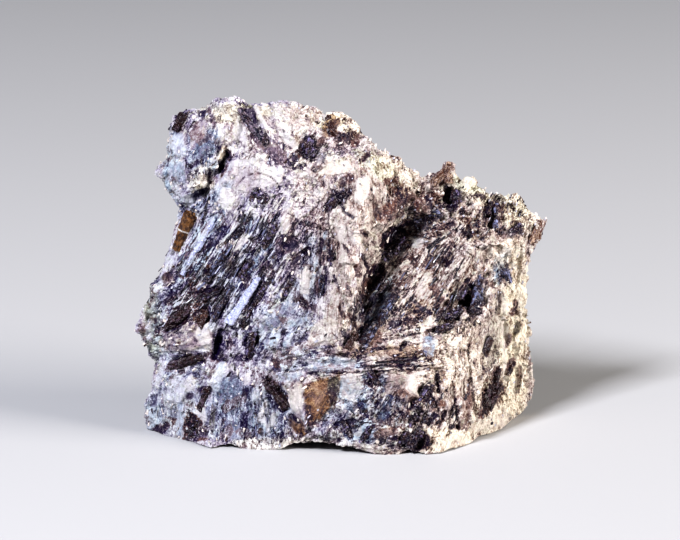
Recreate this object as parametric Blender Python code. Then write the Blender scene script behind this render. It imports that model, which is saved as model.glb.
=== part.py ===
"""Dravite in mica schist, a hand specimen.

One rough chip of pale schist carries dark dravite prisms, each seated in a socket of its own.
The chip is laid out face-on, in millimetres: U runs to the right, V up the face and W away from
the face into the stone. The whole layout is then leaned back onto the table, which is z = 0.

The outline, the relief of the face and the crystals in it are drawn on a sheet of small squares,
as an eye in front of the chip sees them: (squares across, squares down, W).
"""
import math
from functools import partial

import bmesh
import bpy
from mathutils import Matrix, Vector, noise
from mathutils.geometry import delaunay_2d_cdt

# ---- driving dimensions, millimetres unless a name says otherwise ----
MM = 0.001
LEAN = math.radians(14.5)        # how far the face leans back from upright
SQUARE = 0.15                    # one square of the sheet, on the plane W = 0
SHEET_MIDDLE = 340               # squares across to U = 0
SHEET_FOOT = 455                 # squares down to V = 0
EYE_DISTANCE = 600.0             # how far in front of the face the eye is
EYE_HEIGHT = 27.75               # how high up the face it looks
SIGHTINGS = 4                    # how often a line of sight is followed until it meets the face
FIRST_SIGHT = 5.0                # the depth that it is first followed to
SEAT_GAP = 0.34                  # clearance between a crystal and its socket
FACE_SPACING = 1.75              # distance between surface points on the face
BACK_SPACING = 2.9               # the same on the back
LINE_SPACING = 1.5               # the same along ridges, grooves and the crack
LINE_CLEARANCE = 0.7             # least distance between the points of crossing lines
POINT_CLEARANCE = 0.62           # least distance from a point to its neighbours, in spacings
RIM_CLEARANCE = 0.5              # and to the outline
FACE_ROUGHNESS = 0.32            # height of the lumps on the face
BACK_ROUGHNESS = 0.75            # height of the lumps on the back
LUMP_SIZE = 3.2                  # width of the lumps on the face
BACK_LUMP_SIZE = 4.5             # and on the back
FINER_LUMPS = 2.1                # how many times smaller the lumps on these lumps are
LAYER_GAP = 17.3                 # how far apart in the noise the layers of lumps lie
ROUNDING_LUMP_SIZE = 7.0         # and of those that vary the rounding of the sides
ROUNDING_VARIETY = 0.45          # how much they vary it
FACE_FADE = 1.5                  # roughness and thickness start this close to the outline
BACK_FADE = 2.0                  # the same for the roughness of the back
SIDE_ROUNDING = 4.0              # how far the sides round over into the back
SIDE_RINGS = ((0.35, 1), (1.1, 1), (2.4, 2), (4.2, 2))  # distance in, every how many outline points
RING_CLEARANCE = 0.45            # least distance between the points of the rings at the outline
RING_CLEARANCE_GROWTH = 0.25     # and how much it grows for each mm inward
RING_NARROWEST = 0.8             # a ring's points are this share of their distance from any side
THINNEST = 1.8                   # least thickness of stone away from the rim
LEAST_BACK = 0.6                 # the least that the back stands behind the rim
BASE_HOLLOW = 0.5                # how far the underside lifts between its flat patches
BASE_FLAT_RADIUS = 7.0           # flat patch under the middle of the stone
BASE_MIDDLE = 14.0               # how far behind the face's foot that middle is
BASE_LUMP_SIZE = 6.0             # width of the hollows round it
BASE_SETTLE = 0.25               # points this close to the table are put on it
PRISM_SIDES = 9                  # flats round a crystal, whose section is a rounded triangle
PRISM_TRIGONALITY = 0.12         # how triangular that section is
END_SLOPE = 0.35                 # how steeply its broken ends may slope
ROLL = 1.6                       # how far it may be turned about its own length, in radians
SLIVER = 0.02                    # edges shorter than this are merged away
STONE_COLOR = (0.62, 0.56, 0.52)
STONE_ROUGHNESS = 0.6

# Fracture planes of the back: depth at the foot of the middle, then its change per mm of U and V.
BACK_PLANES = (
    (27.6, 0.03, -0.04),
    (33.0, 0.05, -0.42),
    (37.0, 0.55, -0.10),
    (34.5, -0.38, -0.08),
)

# Ledges across the back, where one sheet of the schist ends and the next goes on: the direction in
# degrees towards the lower side, the distance of the ledge from the middle, and its height.
BACK_STEPS = (
    (65.0, 33.0, 1.5),
    (20.0, 15.0, 1.3),
    (205.0, 4.0, 1.6),
    (250.0, -14.0, 1.2),
)
BACK_STEP_WIDTH = 1.6

# The outline of the chip, clockwise from its lower left corner.
LEFT_SIDE = (
    (147, 431, 12.5), (145, 418, 12), (144, 405, 12), (148, 396, 11.5), (152, 388, 11.5),
    (154, 378, 11), (156, 367, 11), (154, 356, 10.5), (148, 349, 10), (144, 340, 9.5),
    (142, 330, 9.5), (139, 320, 9), (140, 311, 9), (147, 305, 9), (150, 299, 8.5), (149, 290, 8.5),
    (155, 284, 8), (160, 276, 8), (163, 266, 8), (166, 256, 7.5), (170, 246, 7), (172, 236, 7),
    (175, 226, 7), (178, 216, 7), (180, 207, 7), (174, 200, 7.5), (170, 192, 7.5), (165, 184, 7.5),
    (161, 177, 7.5), (159, 171, 7.5), (163, 164, 7.5), (167, 158, 7.5), (168, 148, 7),
    (169, 138, 7), (170, 127, 7),
)
CROWN = (
    (172, 115, 7), (178, 115, 7), (183, 110, 7), (192, 109, 7), (201, 108, 7), (207, 106, 7),
    (211, 101, 6.5), (218, 98, 6.5), (228, 97.5, 6), (238, 96, 6), (243, 99, 6), (247, 104, 6),
    (257, 102, 5.5), (265, 103, 5.5), (275, 101, 5.5), (286, 100, 5.5), (296, 102, 5.5),
    (305, 105, 6), (314, 105, 6), (320, 110, 6.5), (325, 114, 7), (333, 112, 7), (342, 113, 7.5),
    (350, 117, 8), (356, 122, 8), (360, 129, 8), (364, 135, 8), (369, 141, 8.5), (376, 148, 9),
    (384, 151, 9.5), (391, 156, 10), (401, 158, 10), (403, 166, 10.5), (410, 169, 10.5),
    (417, 170, 10.5), (420, 177, 11), (428, 174, 11), (436, 171, 11), (443, 167, 11),
    (449, 162, 11), (453, 167, 11.5), (456, 175, 11.5), (461, 181, 12), (467, 178, 12),
    (472, 177, 12), (476, 184, 12.5), (483, 190, 12.5), (490, 195, 13), (497, 192, 13),
    (503, 196, 13.5), (510, 195, 14), (517, 192, 14), (523, 197, 14.5), (527, 206, 15),
    (533, 212, 15.5), (539, 216, 15.5), (545, 220, 15.5),
)
RIGHT_SIDE = (
    (543, 228, 16), (539, 236, 16), (534, 246, 16.5), (529, 256, 17), (527, 266, 17.5),
    (524, 276, 18), (527, 288, 18.5), (527, 299, 18.5), (525, 310, 19), (528, 322, 19),
    (530, 334, 19.5), (528, 345, 20), (529, 356, 20), (533, 366, 20.5), (533, 380, 21),
    (533, 392, 21), (530, 401, 21),
)
FOOT = (
    (523, 412, 20), (514, 423, 18), (503, 432, 13), (491, 436, 10.5), (480, 438, 9), (473, 444, 6),
    (464, 447, 4.3), (452, 451, 2.2), (440, 454, 0.5), (428, 455, 0), (418, 452, 0.3),
    (408, 450, 0.5), (398, 453, 0.2), (386, 455, 0), (374, 453, 0.2), (362, 450, 0.4),
    (350, 446, 0.8), (338, 445, 1), (325, 444, 1.2), (312, 442, 1.5), (300, 443, 1.8),
    (289, 446, 2), (278, 450, 2.4), (266, 450, 2.4), (253, 449, 2.6), (241, 448, 3),
    (232, 444, 3.2), (222, 446, 3.5), (210, 450, 2.9), (199, 447, 4.6), (189, 443, 6.8),
    (177, 440, 8.5), (163, 438, 9.8), (153, 434, 12),
)

# Ridges, grooves and ledges that run across the face.
LINES = {
    "groove": (
        (246, 112, 5), (243, 130, 4.6), (238, 146, 4.8), (229, 158, 5.2), (221, 172, 5.2),
        (211, 186, 5.4), (202, 198, 5.8), (190, 206, 6.5),
    ),
    "pale_ledge": (
        (256, 112, 3.4), (252, 130, 2.9), (250, 150, 2.6), (240, 163, 2.4), (230, 175, 2.6),
        (220, 189, 3.0), (209, 201, 3.6), (197, 212, 4.4),
    ),
    "crest": (
        (371, 152, 5.5), (368, 165, 2.6), (365, 185, 1.0), (361, 205, 0.2), (357, 225, -0.6),
        (352, 250, -1.4), (348, 275, -1.8), (345, 300, -1.8), (341, 322, -1.2), (336, 345, -0.4),
    ),
    "hollow_lip": (
        (409, 203, 5.8), (398, 212, 4.4), (386, 221, 3.2), (376, 233, 2.2), (368, 248, 1.2),
        (361, 263, 0.4), (357, 282, -0.2), (354, 302, -0.2), (350, 322, 0.2), (350, 338, 0.8),
    ),
    "hollow_floor": (
        (424, 214, 9.5), (408, 228, 10.5), (394, 243, 10.5), (383, 258, 9.5), (374, 274, 8.6),
        (368, 292, 7.6), (364, 312, 6.0), (361, 330, 4.4), (362, 346, 2.6),
    ),
    "hollow_far_side": (
        (440, 226, 8.4), (424, 240, 8.2), (410, 256, 8.0), (398, 272, 7.6), (389, 290, 6.6),
        (382, 308, 5.0), (376, 326, 3.6), (372, 344, 2.4),
    ),
    "crack_lip": (
        (300, 365, 1.8), (330, 366, 1.4), (360, 364, 1.2), (390, 363, 1.0), (415, 362, 1.0),
        (432, 362, 1.6),
    ),
    "crack_sill": (
        (304, 373, 1.0), (332, 374, 0.2), (362, 372, -0.2), (392, 371, -0.4), (417, 370, -0.2),
        (434, 372, 0.8),
    ),
    "block_left": (
        (289, 386, 2.0), (291, 405, 1.8), (298, 428, 0.8),
    ),
    "block_edge": (
        (303, 386, -0.6), (306, 405, -0.9), (305, 424, -0.5),
    ),
    "side_band": (
        (496, 312, 10.2), (512, 326, 14.6), (515, 345, 16.0), (517, 366, 16.6), (516, 385, 16.6),
        (508, 402, 14.4),
    ),
}

# Heights of the ground between them.
SPOTS = {
    "boss_brow": (
        (188, 127, 3.6), (205, 118, 3.0), (225, 112, 3.4),
    ),
    "boss_belly": (
        (180, 150, 3.4), (200, 148, 2.2), (222, 140, 2.6),
    ),
    "boss_chin": (
        (172, 170, 4.8), (190, 172, 2.6), (207, 165, 2.4),
    ),
    "boss_foot": (
        (182, 192, 4.4), (197, 188, 3.4),
    ),
    "upper_face": (
        (280, 115, 2.6), (310, 118, 2.8), (338, 126, 3.4),
    ),
    "upper_middle": (
        (275, 145, 1.6), (296, 138, 1.4), (325, 138, 1.6), (345, 152, 2.2),
    ),
    "pocket": (
        (306, 150, 2.8), (314, 146, 2.8),
    ),
    "upper_lower": (
        (262, 180, 1.2), (300, 180, 0.8), (318, 168, 1.0), (340, 178, 0.8),
    ),
    "streaks_top": (
        (203, 222, 5.8), (225, 212, 3.4), (250, 212, 2.0), (280, 218, 1.4), (310, 222, 1.2),
        (334, 222, 0.8),
    ),
    "streaks_upper": (
        (190, 250, 6.0), (215, 250, 4.0), (245, 250, 2.6), (275, 250, 2.0), (305, 252, 1.6),
        (330, 252, 1.4),
    ),
    "streaks_middle": (
        (178, 280, 6.4), (205, 285, 4.4), (235, 285, 3.0), (265, 285, 2.2), (295, 285, 2.0),
        (325, 285, 1.2),
    ),
    "streaks_low": (
        (165, 308, 7.0), (195, 312, 5.0), (225, 316, 3.4), (255, 315, 2.4), (285, 318, 1.8),
        (315, 318, 1.0),
    ),
    "shoulder": (
        (385, 168, 5.6), (396, 180, 5.4), (396, 196, 4.6),
    ),
    "right_face": (
        (470, 232, 8.0), (456, 252, 6.8), (436, 262, 7.0), (430, 280, 6.6), (418, 300, 5.4),
        (412, 316, 4.0),
    ),
    "right_face_edge": (
        (474, 252, 6.8), (462, 268, 6.0), (448, 285, 5.8), (440, 300, 4.8), (434, 318, 3.4),
    ),
    "den_mouth": (
        (480, 266, 7.4), (466, 280, 6.4), (457, 296, 5.8), (468, 313, 5.4), (486, 308, 7.6),
        (490, 288, 8.8),
    ),
    "den": (
        (474, 290, 10.5), (469, 301, 10.0),
    ),
    "crown_notch": (
        (447, 189, 12.3), (452, 203, 12.0),
    ),
    "crown_lumps": (
        (410, 188, 7.4), (424, 196, 8.2), (438, 196, 9.4), (436, 210, 8.8),
    ),
    "crown_right": (
        (462, 192, 10.4), (466, 206, 10.0), (452, 214, 9.2), (482, 212, 10.8),
    ),
    "side_notch": (
        (494, 207, 14.8), (494, 222, 14.2),
    ),
    "side_top": (
        (504, 208, 12.8), (516, 214, 14.0), (526, 226, 15.0),
    ),
    "side_upper": (
        (484, 232, 9.4), (503, 234, 12.0), (512, 246, 13.0), (520, 258, 14.8),
    ),
    "side_middle": (
        (498, 252, 10.8), (502, 272, 11.6), (508, 288, 13.2), (519, 302, 16.4),
    ),
    "side_fold": (
        (486, 330, 8.0), (496, 350, 10.2), (498, 372, 10.6), (492, 392, 9.0), (486, 412, 8.0),
    ),
    "lower_right": (
        (448, 332, 3.2), (466, 338, 5.4), (468, 358, 5.0), (474, 380, 5.4), (472, 402, 4.6),
        (466, 426, 4.4),
    ),
    "lower_right_inner": (
        (428, 344, 1.8), (446, 356, 2.6), (450, 378, 2.4), (450, 402, 2.0), (444, 430, 1.4),
    ),
    "middle": (
        (250, 340, 2.6), (280, 343, 1.8), (312, 340, 1.0),
    ),
    "middle_low": (
        (262, 362, 2.6), (284, 362, 2.0),
    ),
    "under_hollow": (
        (374, 354, 1.4), (392, 340, 2.6), (408, 342, 2.2), (410, 330, 3.0),
    ),
    "plate": (
        (158, 336, 8.0), (180, 332, 6.0), (212, 331, 4.6), (212, 350, 4.8), (180, 352, 6.2),
    ),
    "plate_foot": (
        (222, 328, 5.6), (222, 352, 5.8), (196, 366, 6.8), (170, 370, 8.4),
    ),
    "left_low": (
        (170, 388, 8.2), (195, 384, 6.4), (225, 380, 4.6), (248, 384, 4.0), (272, 388, 3.0),
    ),
    "left_lower": (
        (162, 408, 9.4), (182, 408, 7.6), (205, 408, 5.8), (230, 408, 4.4), (255, 406, 3.4),
        (276, 406, 2.8),
    ),
    "left_foot": (
        (168, 428, 9.6), (192, 430, 6.8), (215, 432, 4.6), (240, 432, 3.6), (265, 434, 2.6),
        (288, 432, 2.2),
    ),
    "block_right": (
        (338, 380, 0.8), (336, 396, 1.2), (330, 414, 1.0),
    ),
    "front_low": (
        (356, 392, 0.2), (380, 394, -0.6), (404, 392, -1.0), (424, 404, -0.6),
    ),
    "front_lower": (
        (345, 418, 0.3), (370, 416, -0.2), (396, 416, -0.9), (420, 424, -0.5),
    ),
    "front_foot": (
        (322, 432, 0.6), (352, 434, 0.4), (380, 438, -0.5), (408, 436, -0.6),
    ),
}

# The crystals seated in the face. Each node has a finish and one prism, or several grown together:
# (width, foot, head), where each end is (squares across, squares down, sink), and the sink is how
# deep the prism's axis lies under the face there.
FACE_CRYSTALS = {
    "dravite_left_1": ("black", [(1.6, (169, 367, 0.4), (204, 356, 0.4))]),
    "dravite_left_2": ("black", [(1.8, (165, 328, 0.4), (192, 306, 0.4))]),
    "dravite_left_3": ("black", [(1.2, (202, 299, 0.2), (219, 289, 0.2))]),
    "dravite_left_4": ("brown", [
        (1.2, (195, 320, 0.2), (206, 311, 0.2)),
        (1.2, (200, 327, 0.2), (206, 312, 0.2)),
    ]),
    "dravite_left_5": ("blue", [(0.9, (213, 320, 0.1), (233, 285, 0.2))]),
    "dravite_blade_host": ("black", [(1.1, (240, 328, 0.2), (266, 284, 0.3))]),
    "mica_blade": ("pale", [(1.1, (230, 323, 0.0), (259, 277, 0.0))]),
    "dravite_golden": ("golden", [(2.2, (177, 249, 0.5), (190, 215, 0.2))]),
    "mica_lath": ("pale", [(0.9, (182, 275, 0.1), (214, 222, 0.1))]),
    "dravite_streak_1": ("blue", [(1.2, (206, 281, 0.2), (247, 218, 0.1))]),
    "dravite_streak_2": ("black", [(1.2, (240, 277, 0.2), (252, 260, 0.2))]),
    "dravite_streak_3": ("black", [(1.2, (203, 220, 0.2), (213, 203, 0.2))]),
    "dravite_streak_4": ("black", [(1.3, (331, 267, 0.3), (335, 247, 0.3))]),
    "dravite_streak_5": ("blue", [(1.1, (319, 299, 0.2), (323, 274, 0.2))]),
    "dravite_streak_6": ("black", [(1.1, (263, 247, 0.3), (276, 226, 0.3))]),
    "dravite_streak_7": ("black", [(1.1, (283, 301, 0.3), (293, 277, 0.3))]),
    "dravite_streak_8": ("black", [(1.3, (248, 357, 0.5), (254, 332, 0.3))]),
    "dravite_corner": ("brown", [(1.8, (176, 132, 0.3), (184, 114, 0.1))]),
    "dravite_upper_1": ("black", [(2.9, (261, 199, 3.1), (259, 196, -0.2))]),
    "dravite_upper_2": ("black", [
        (1.8, (299, 154, 0.4), (317, 137, 0.4)),
        (1.3, (304, 165, 0.3), (317, 147, 0.3)),
    ]),
    "dravite_upper_3": ("black", [(1.6, (328, 207, 0.4), (346, 191, 0.4))]),
    "dravite_upper_4": ("brown", [
        (1.3, (240, 110, 0.3), (253, 128, 0.3)),
        (1.3, (251, 126, 0.3), (267, 143, 0.3)),
    ]),
    "dravite_upper_5": ("golden", [(1.5, (329, 119, 0.2), (334, 135, 0.2))]),
    "dravite_hollow_1": ("blue", [(1.8, (361, 347, -0.1), (397, 296, -0.2))]),
    "dravite_hollow_2": ("black", [(1.3, (368, 303, -0.1), (386, 279, -0.1))]),
    "dravite_hollow_3": ("black", [(1.6, (384, 259, -0.1), (408, 240, 0.0))]),
    "dravite_hollow_4": ("brown", [(1.3, (347, 350, 0.3), (355, 332, 0.3))]),
    "dravite_right_1": ("blue", [(1.5, (415, 223, 0.1), (441, 213, 0.1))]),
    "dravite_right_2": ("black", [(1.5, (461, 213, 0.0), (455, 193, 0.0))]),
    "dravite_right_3": ("blue", [(1.2, (497, 229, 0.0), (496, 203, 0.0))]),
    "dravite_right_4": ("blue", [(1.3, (510, 283, 0.2), (501, 262, 0.1))]),
    "dravite_den_1": ("blue", [(1.9, (476, 311, -0.2), (480, 276, 0.2))]),
    "dravite_den_2": ("black", [(1.2, (460, 300, 0.0), (469, 279, 0.1))]),
    "dravite_den_3": ("black", [(1.2, (442, 317, 0.1), (462, 311, 0.1))]),
    "dravite_right_5": ("black", [(1.2, (437, 330, 0.2), (452, 326, 0.2))]),
    "dravite_right_6": ("black", [(1.5, (510, 239, 0.3), (521, 226, 0.3))]),
    "dravite_spike": ("brown", [
        (2.1, (447, 182, 0.3), (450, 163, 0.3)),
        (1.6, (432, 183, 0.3), (444, 173, 0.1)),
    ]),
    "dravite_tip": ("brown", [(2.1, (533, 241, 0.4), (539, 221, 0.3))]),
    "dravite_low_1": ("blue", [(1.5, (424, 353, 0.3), (432, 337, 0.2))]),
    "dravite_low_2": ("black", [(1.3, (368, 370, 0.2), (378, 386, 0.2))]),
    "dravite_low_3": ("black", [(1.5, (420, 403, 0.3), (431, 384, 0.3))]),
    "dravite_low_4": ("black", [(1.3, (409, 426, 0.3), (416, 414, 0.3))]),
    "dravite_low_5": ("black", [(1.3, (425, 424, 0.3), (432, 406, 0.3))]),
    "dravite_low_6": ("black", [(1.1, (343, 422, 0.2), (351, 437, 0.2))]),
    "dravite_low_7": ("black", [(1.1, (361, 442, 0.2), (371, 426, 0.2))]),
    "dravite_low_8": ("black", [(1.2, (199, 409, 0.2), (208, 387, 0.2))]),
    "dravite_low_9": ("black", [
        (1.5, (262, 390, 0.3), (282, 382, 0.3)),
        (1.8, (274, 390, 0.4), (288, 410, 0.4)),
    ]),
    "dravite_low_10": ("golden", [(1.2, (296, 424, 0.2), (306, 435, 0.2))]),
    "dravite_low_11": ("black", [
        (1.2, (188, 432, 0.2), (197, 419, 0.2)),
        (1.5, (191, 435, 0.2), (207, 431, 0.2)),
    ]),
    "dravite_side_1": ("brown", [
        (1.3, (494, 388, 0.3), (499, 367, 0.3)),
        (1.5, (485, 414, 0.3), (498, 385, 0.3)),
        (1.0, (484, 406, 0.2), (492, 386, 0.2)),
    ]),
    "dravite_side_2": ("brown", [(1.3, (484, 355, 0.3), (491, 338, 0.3))]),
    "dravite_base": ("black", [
        (1.4, (397, 446, 0.2), (410, 434, 0.2)),
        (1.8, (408, 447, 0.2), (421, 432, 0.2)),
    ]),
}

# The crystals seated in the back, laid out the same way, but with (U, V, sink) in millimetres.
BACK_CRYSTALS = {
    "dravite_back_1": ("black", [(2.3, (-18, 14.5, 0.4), (-11.5, 19.5, 0.4))]),
    "dravite_back_2": ("black", [(1.9, (-7, 24, 0.3), (-2.5, 30.5, 0.4))]),
    "dravite_back_3": ("brown", [
        (2.3, (8, 14, 0.4), (14, 19.5, 0.4)),
        (1.6, (12, 14, 0.3), (10.5, 21, 0.4)),
    ]),
    "dravite_back_4": ("black", [(1.6, (2, 37.5, 0.3), (-4, 41.5, 0.3))]),
    "dravite_back_5": ("black", [(1.9, (19, 25, 0.3), (15, 31, 0.4))]),
    "dravite_back_6": ("golden", [(1.7, (-19.5, 33, 0.3), (-16, 38.5, 0.3))]),
}

# Colour and roughness of each finish.
FINISHES = {
    "black": ((0.020, 0.016, 0.022), 0.25),
    "blue": ((0.045, 0.050, 0.085), 0.22),
    "brown": ((0.070, 0.032, 0.026), 0.35),
    "golden": ((0.260, 0.140, 0.045), 0.45),
    "pale": ((0.640, 0.660, 0.780), 0.30),
}


# ---- small helpers ----

def to_world(u, v, w):
    """A point of the face-on layout, in millimetres, as a world point in metres."""
    sin_lean, cos_lean = math.sin(LEAN), math.cos(LEAN)
    return Vector((u, v * sin_lean + w * cos_lean, v * cos_lean - w * sin_lean)) * MM


def from_sheet(across, down, depth):
    """A point of the sheet with its depth, as (U, V, W): what lies deeper is drawn smaller."""
    spread = 1.0 + depth / EYE_DISTANCE
    u = (across - SHEET_MIDDLE) * SQUARE * spread
    v = EYE_HEIGHT + ((SHEET_FOOT - down) * SQUARE - EYE_HEIGHT) * spread
    return Vector((u, v, depth))


def on_face(ground, across, down):
    """Where a point of the sheet falls on the face, as (U, V, W)."""
    point = from_sheet(across, down, FIRST_SIGHT)
    for _ in range(SIGHTINGS):
        point = from_sheet(across, down, ground.depth(point.x, point.y))
    return point


def on_back(rim, u, v):
    """A point of the back, as (U, V, W)."""
    return Vector((u, v, back_depth(rim, u, v)))


def lumps(u, v, layer, size=LUMP_SIZE):
    """Smooth seeded roughness between about -1 and 1; each layer has lumps of its own."""
    place = Vector((u / size, v / size, LAYER_GAP * layer))
    return noise.noise(place) + 0.5 * noise.noise(place * FINER_LUMPS + Vector((5.1, 0.0, 0.0)))


def jitter(number, layer):
    """A seeded offset between -0.5 and 0.5 for the point of that number."""
    return noise.cell(Vector((number * 1.37 + 0.5, layer * 7.9 + 0.5, 0.5))) - 0.5


def smooth_step(value):
    """0 below 0, 1 above 1 and smooth between."""
    value = max(0.0, min(1.0, value))
    return value * value * (3.0 - 2.0 * value)


def along(points, spacing):
    """The points of a line with more put between them, no further apart than the spacing."""
    result = []
    for first, second in zip(points, points[1:]):
        count = max(1, round((second - first).xy.length / spacing))
        result += [first.lerp(second, step / count) for step in range(count)]
    return result + [points[-1]]


def rim_distance(rim, u, v):
    """Distance from a point of the face to the outline, and the outline's depth there."""
    place = Vector((u, v))
    best, depth = 1e9, 0.0
    for first, second in zip(rim, rim[1:] + rim[:1]):
        side = second.xy - first.xy
        share = max(0.0, min(1.0, (place - first.xy).dot(side) / side.length_squared))
        distance = (place - first.xy - side * share).length
        if distance < best:
            best, depth = distance, first.z + (second.z - first.z) * share
    return best, depth


def is_inside(rim, u, v):
    """Whether a point of the face lies within the outline."""
    inside = False
    for first, second in zip(rim, rim[1:] + rim[:1]):
        if (first.y > v) != (second.y > v):
            crossing = first.x + (v - first.y) * (second.x - first.x) / (second.y - first.y)
            inside ^= u < crossing
    return inside


def triangulate(points, rim_count):
    """Delaunay triangles over the points, kept to the outline that the first of them make."""
    flat = [point.xy for point in points]
    result = delaunay_2d_cdt(flat, [], [list(range(rim_count))], 1, 1e-5)
    return result[2]


class Ground:
    """A surface over the face, read by linear interpolation between its known points."""

    def __init__(self, points, rim_count):
        self.points = points
        self.triangles = triangulate(points, rim_count)

    def depth(self, u, v):
        place = Vector((u, v))
        nearest, nearest_depth = 1e9, 0.0
        for triangle in self.triangles:
            a, b, c = (self.points[index] for index in triangle)
            area = (b.xy - a.xy).cross(c.xy - a.xy)
            if abs(area) < 1e-9:
                continue
            share_b = (place - a.xy).cross(c.xy - a.xy) / area
            share_c = (b.xy - a.xy).cross(place - a.xy) / area
            share_a = 1.0 - share_b - share_c
            miss = -min(share_a, share_b, share_c)
            if miss < nearest:
                nearest = miss
                nearest_depth = share_a * a.z + share_b * b.z + share_c * c.z
            if miss <= 0.0:
                break
        return nearest_depth


def spread_points(rim, spacing, taken, layer):
    """Jittered points inside the outline, clear of it and of the points already taken."""
    low_u, high_u = min(p.x for p in rim), max(p.x for p in rim)
    low_v, high_v = min(p.y for p in rim), max(p.y for p in rim)
    row_step = spacing * math.sqrt(0.75)
    points, number = [], 0
    for row in range(int((high_v - low_v) / row_step) + 1):
        for column in range(int((high_u - low_u) / spacing) + 1):
            number += 1
            u = low_u + (column + 0.5 * (row % 2) + 0.5 * jitter(number, layer)) * spacing
            v = low_v + (row + 0.5 * jitter(number, layer + 1)) * row_step
            place = Vector((u, v))
            clear = all((place - other.xy).length > POINT_CLEARANCE * spacing for other in taken)
            inside = clear and is_inside(rim, u, v)
            if inside and rim_distance(rim, u, v)[0] > RIM_CLEARANCE * spacing:
                points.append(place)
    return points


# ---- the stone ----

def chip_outline():
    """The whole outline as one closed ring of points."""
    return [from_sheet(*point) for point in LEFT_SIDE + CROWN + RIGHT_SIDE + FOOT]


def face_ground(rim):
    """The broad relief of the face."""
    known = list(rim)
    for points in (*LINES.values(), *SPOTS.values()):
        known += [from_sheet(*point) for point in points]
    return Ground(known, len(rim))


def back_depth(rim, u, v):
    """Depth of the back: fracture planes, rounded over to meet the outline, and the flat base."""
    distance, rim_depth = rim_distance(rim, u, v)
    planes = min(depth + by_u * u + by_v * v for depth, by_u, by_v in BACK_PLANES)
    for angle, offset, drop in BACK_STEPS:
        across = u * math.cos(math.radians(angle)) + v * math.sin(math.radians(angle))
        planes -= drop * smooth_step((across - offset) / BACK_STEP_WIDTH)
    rounding = SIDE_ROUNDING * (1.0 + ROUNDING_VARIETY * lumps(u, v, 5, ROUNDING_LUMP_SIZE))
    turn = 1.0 - max(0.0, 1.0 - distance / rounding) ** 2
    rough = BACK_ROUGHNESS * lumps(u, v, 6, BACK_LUMP_SIZE) * min(1.0, distance / BACK_FADE)
    return rim_depth + max(LEAST_BACK, planes - rim_depth) * math.sqrt(turn) + rough


def side_points(rim):
    """Points in rings inside the outline, where the sides round over; the rings grow sparser."""
    points = []
    for ring, step in SIDE_RINGS:
        clearance = RING_CLEARANCE + RING_CLEARANCE_GROWTH * ring
        for number in range(0, len(rim), step):
            before, here = rim[number - step], rim[number]
            after = rim[(number + step) % len(rim)]
            outward = (after.xy - before.xy).orthogonal().normalized()
            place = here.xy - outward * ring
            clear = all((place - other.xy).length > clearance for other in points)
            distance = rim_distance(rim, place.x, place.y)[0]
            if clear and is_inside(rim, *place) and distance > RING_NARROWEST * ring:
                points.append(Vector((place.x, place.y, 0.0)))
    return points


def stone_mesh(rim, ground):
    """The closed mesh of the chip before its sockets are cut."""
    breaks = []
    for line in LINES.values():
        for point in along([from_sheet(*place) for place in line], LINE_SPACING):
            if all((point.xy - other.xy).length > LINE_CLEARANCE for other in breaks):
                breaks.append(point)
    front = list(rim) + breaks
    for place in spread_points(rim, FACE_SPACING, breaks, 1):
        front.append(Vector((place.x, place.y, ground.depth(place.x, place.y))))
    for point in front[len(rim):]:
        distance = rim_distance(rim, point.x, point.y)[0]
        point.z += FACE_ROUGHNESS * lumps(point.x, point.y, 3) * min(1.0, distance / FACE_FADE)

    back = side_points(rim)
    for place in spread_points(rim, BACK_SPACING, back, 11):
        back.append(Vector((place.x, place.y, 0.0)))
    for point in back:
        distance, rim_depth = rim_distance(rim, point.x, point.y)
        thinnest = ground.depth(point.x, point.y) + THINNEST * min(1.0, distance / FACE_FADE)
        point.z = max(back_depth(rim, point.x, point.y), thinnest)

    mesh = bmesh.new()
    front_points = [mesh.verts.new(to_world(*point)) for point in front]
    back_points = front_points[:len(rim)]
    for point in back:
        back_points.append(mesh.verts.new(to_world(*point)))
    for triangle in triangulate(front, len(rim)):
        mesh.faces.new([front_points[index] for index in triangle])
    for triangle in triangulate(list(rim) + back, len(rim)):
        mesh.faces.new([back_points[index] for index in reversed(triangle)])
    rest_on_table(mesh)
    bmesh.ops.recalc_face_normals(mesh, faces=mesh.faces)
    return mesh


def rest_on_table(mesh):
    """Flatten the underside onto the table, with shallow hollows between its flat patches."""
    for vertex in mesh.verts:
        if vertex.co.z < 0.0:
            x, y = vertex.co.x / MM, vertex.co.y / MM
            from_middle = math.hypot(x, y - BASE_MIDDLE)
            lift = BASE_HOLLOW * lumps(x, y, 8, BASE_LUMP_SIZE)
            lift *= smooth_step(from_middle / BASE_FLAT_RADIUS - 1.0)
            vertex.co.z = max(0.0, lift) * MM
        elif vertex.co.z < BASE_SETTLE * MM:
            vertex.co.z = 0.0


# ---- the crystals ----

def prism_mesh(width, length, variety, grow=0.0):
    """A nine-sided prism along Z with broken ends; grow puts that much more on every side."""
    mesh = bmesh.new()
    half = 0.5 * length + grow
    slopes = [END_SLOPE * jitter(variety, layer) for layer in (21, 22, 23, 24)]
    rings = []
    for side, (slope_x, slope_y) in ((-1.0, slopes[:2]), (1.0, slopes[2:])):
        ring = []
        for corner in range(PRISM_SIDES):
            angle = 2.0 * math.pi * corner / PRISM_SIDES
            radius = 0.5 * width * (1.0 + PRISM_TRIGONALITY * math.cos(3.0 * angle)) + grow
            x, y = radius * math.cos(angle), radius * math.sin(angle)
            z = side * half + slope_x * x + slope_y * y
            ring.append(mesh.verts.new(Vector((x, y, z)) * MM))
        mesh.faces.new(ring if side > 0.0 else list(reversed(ring)))
        rings.append(ring)
    for corner in range(PRISM_SIDES):
        after = (corner + 1) % PRISM_SIDES
        mesh.faces.new((rings[0][corner], rings[0][after], rings[1][after], rings[1][corner]))
    return mesh


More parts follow.
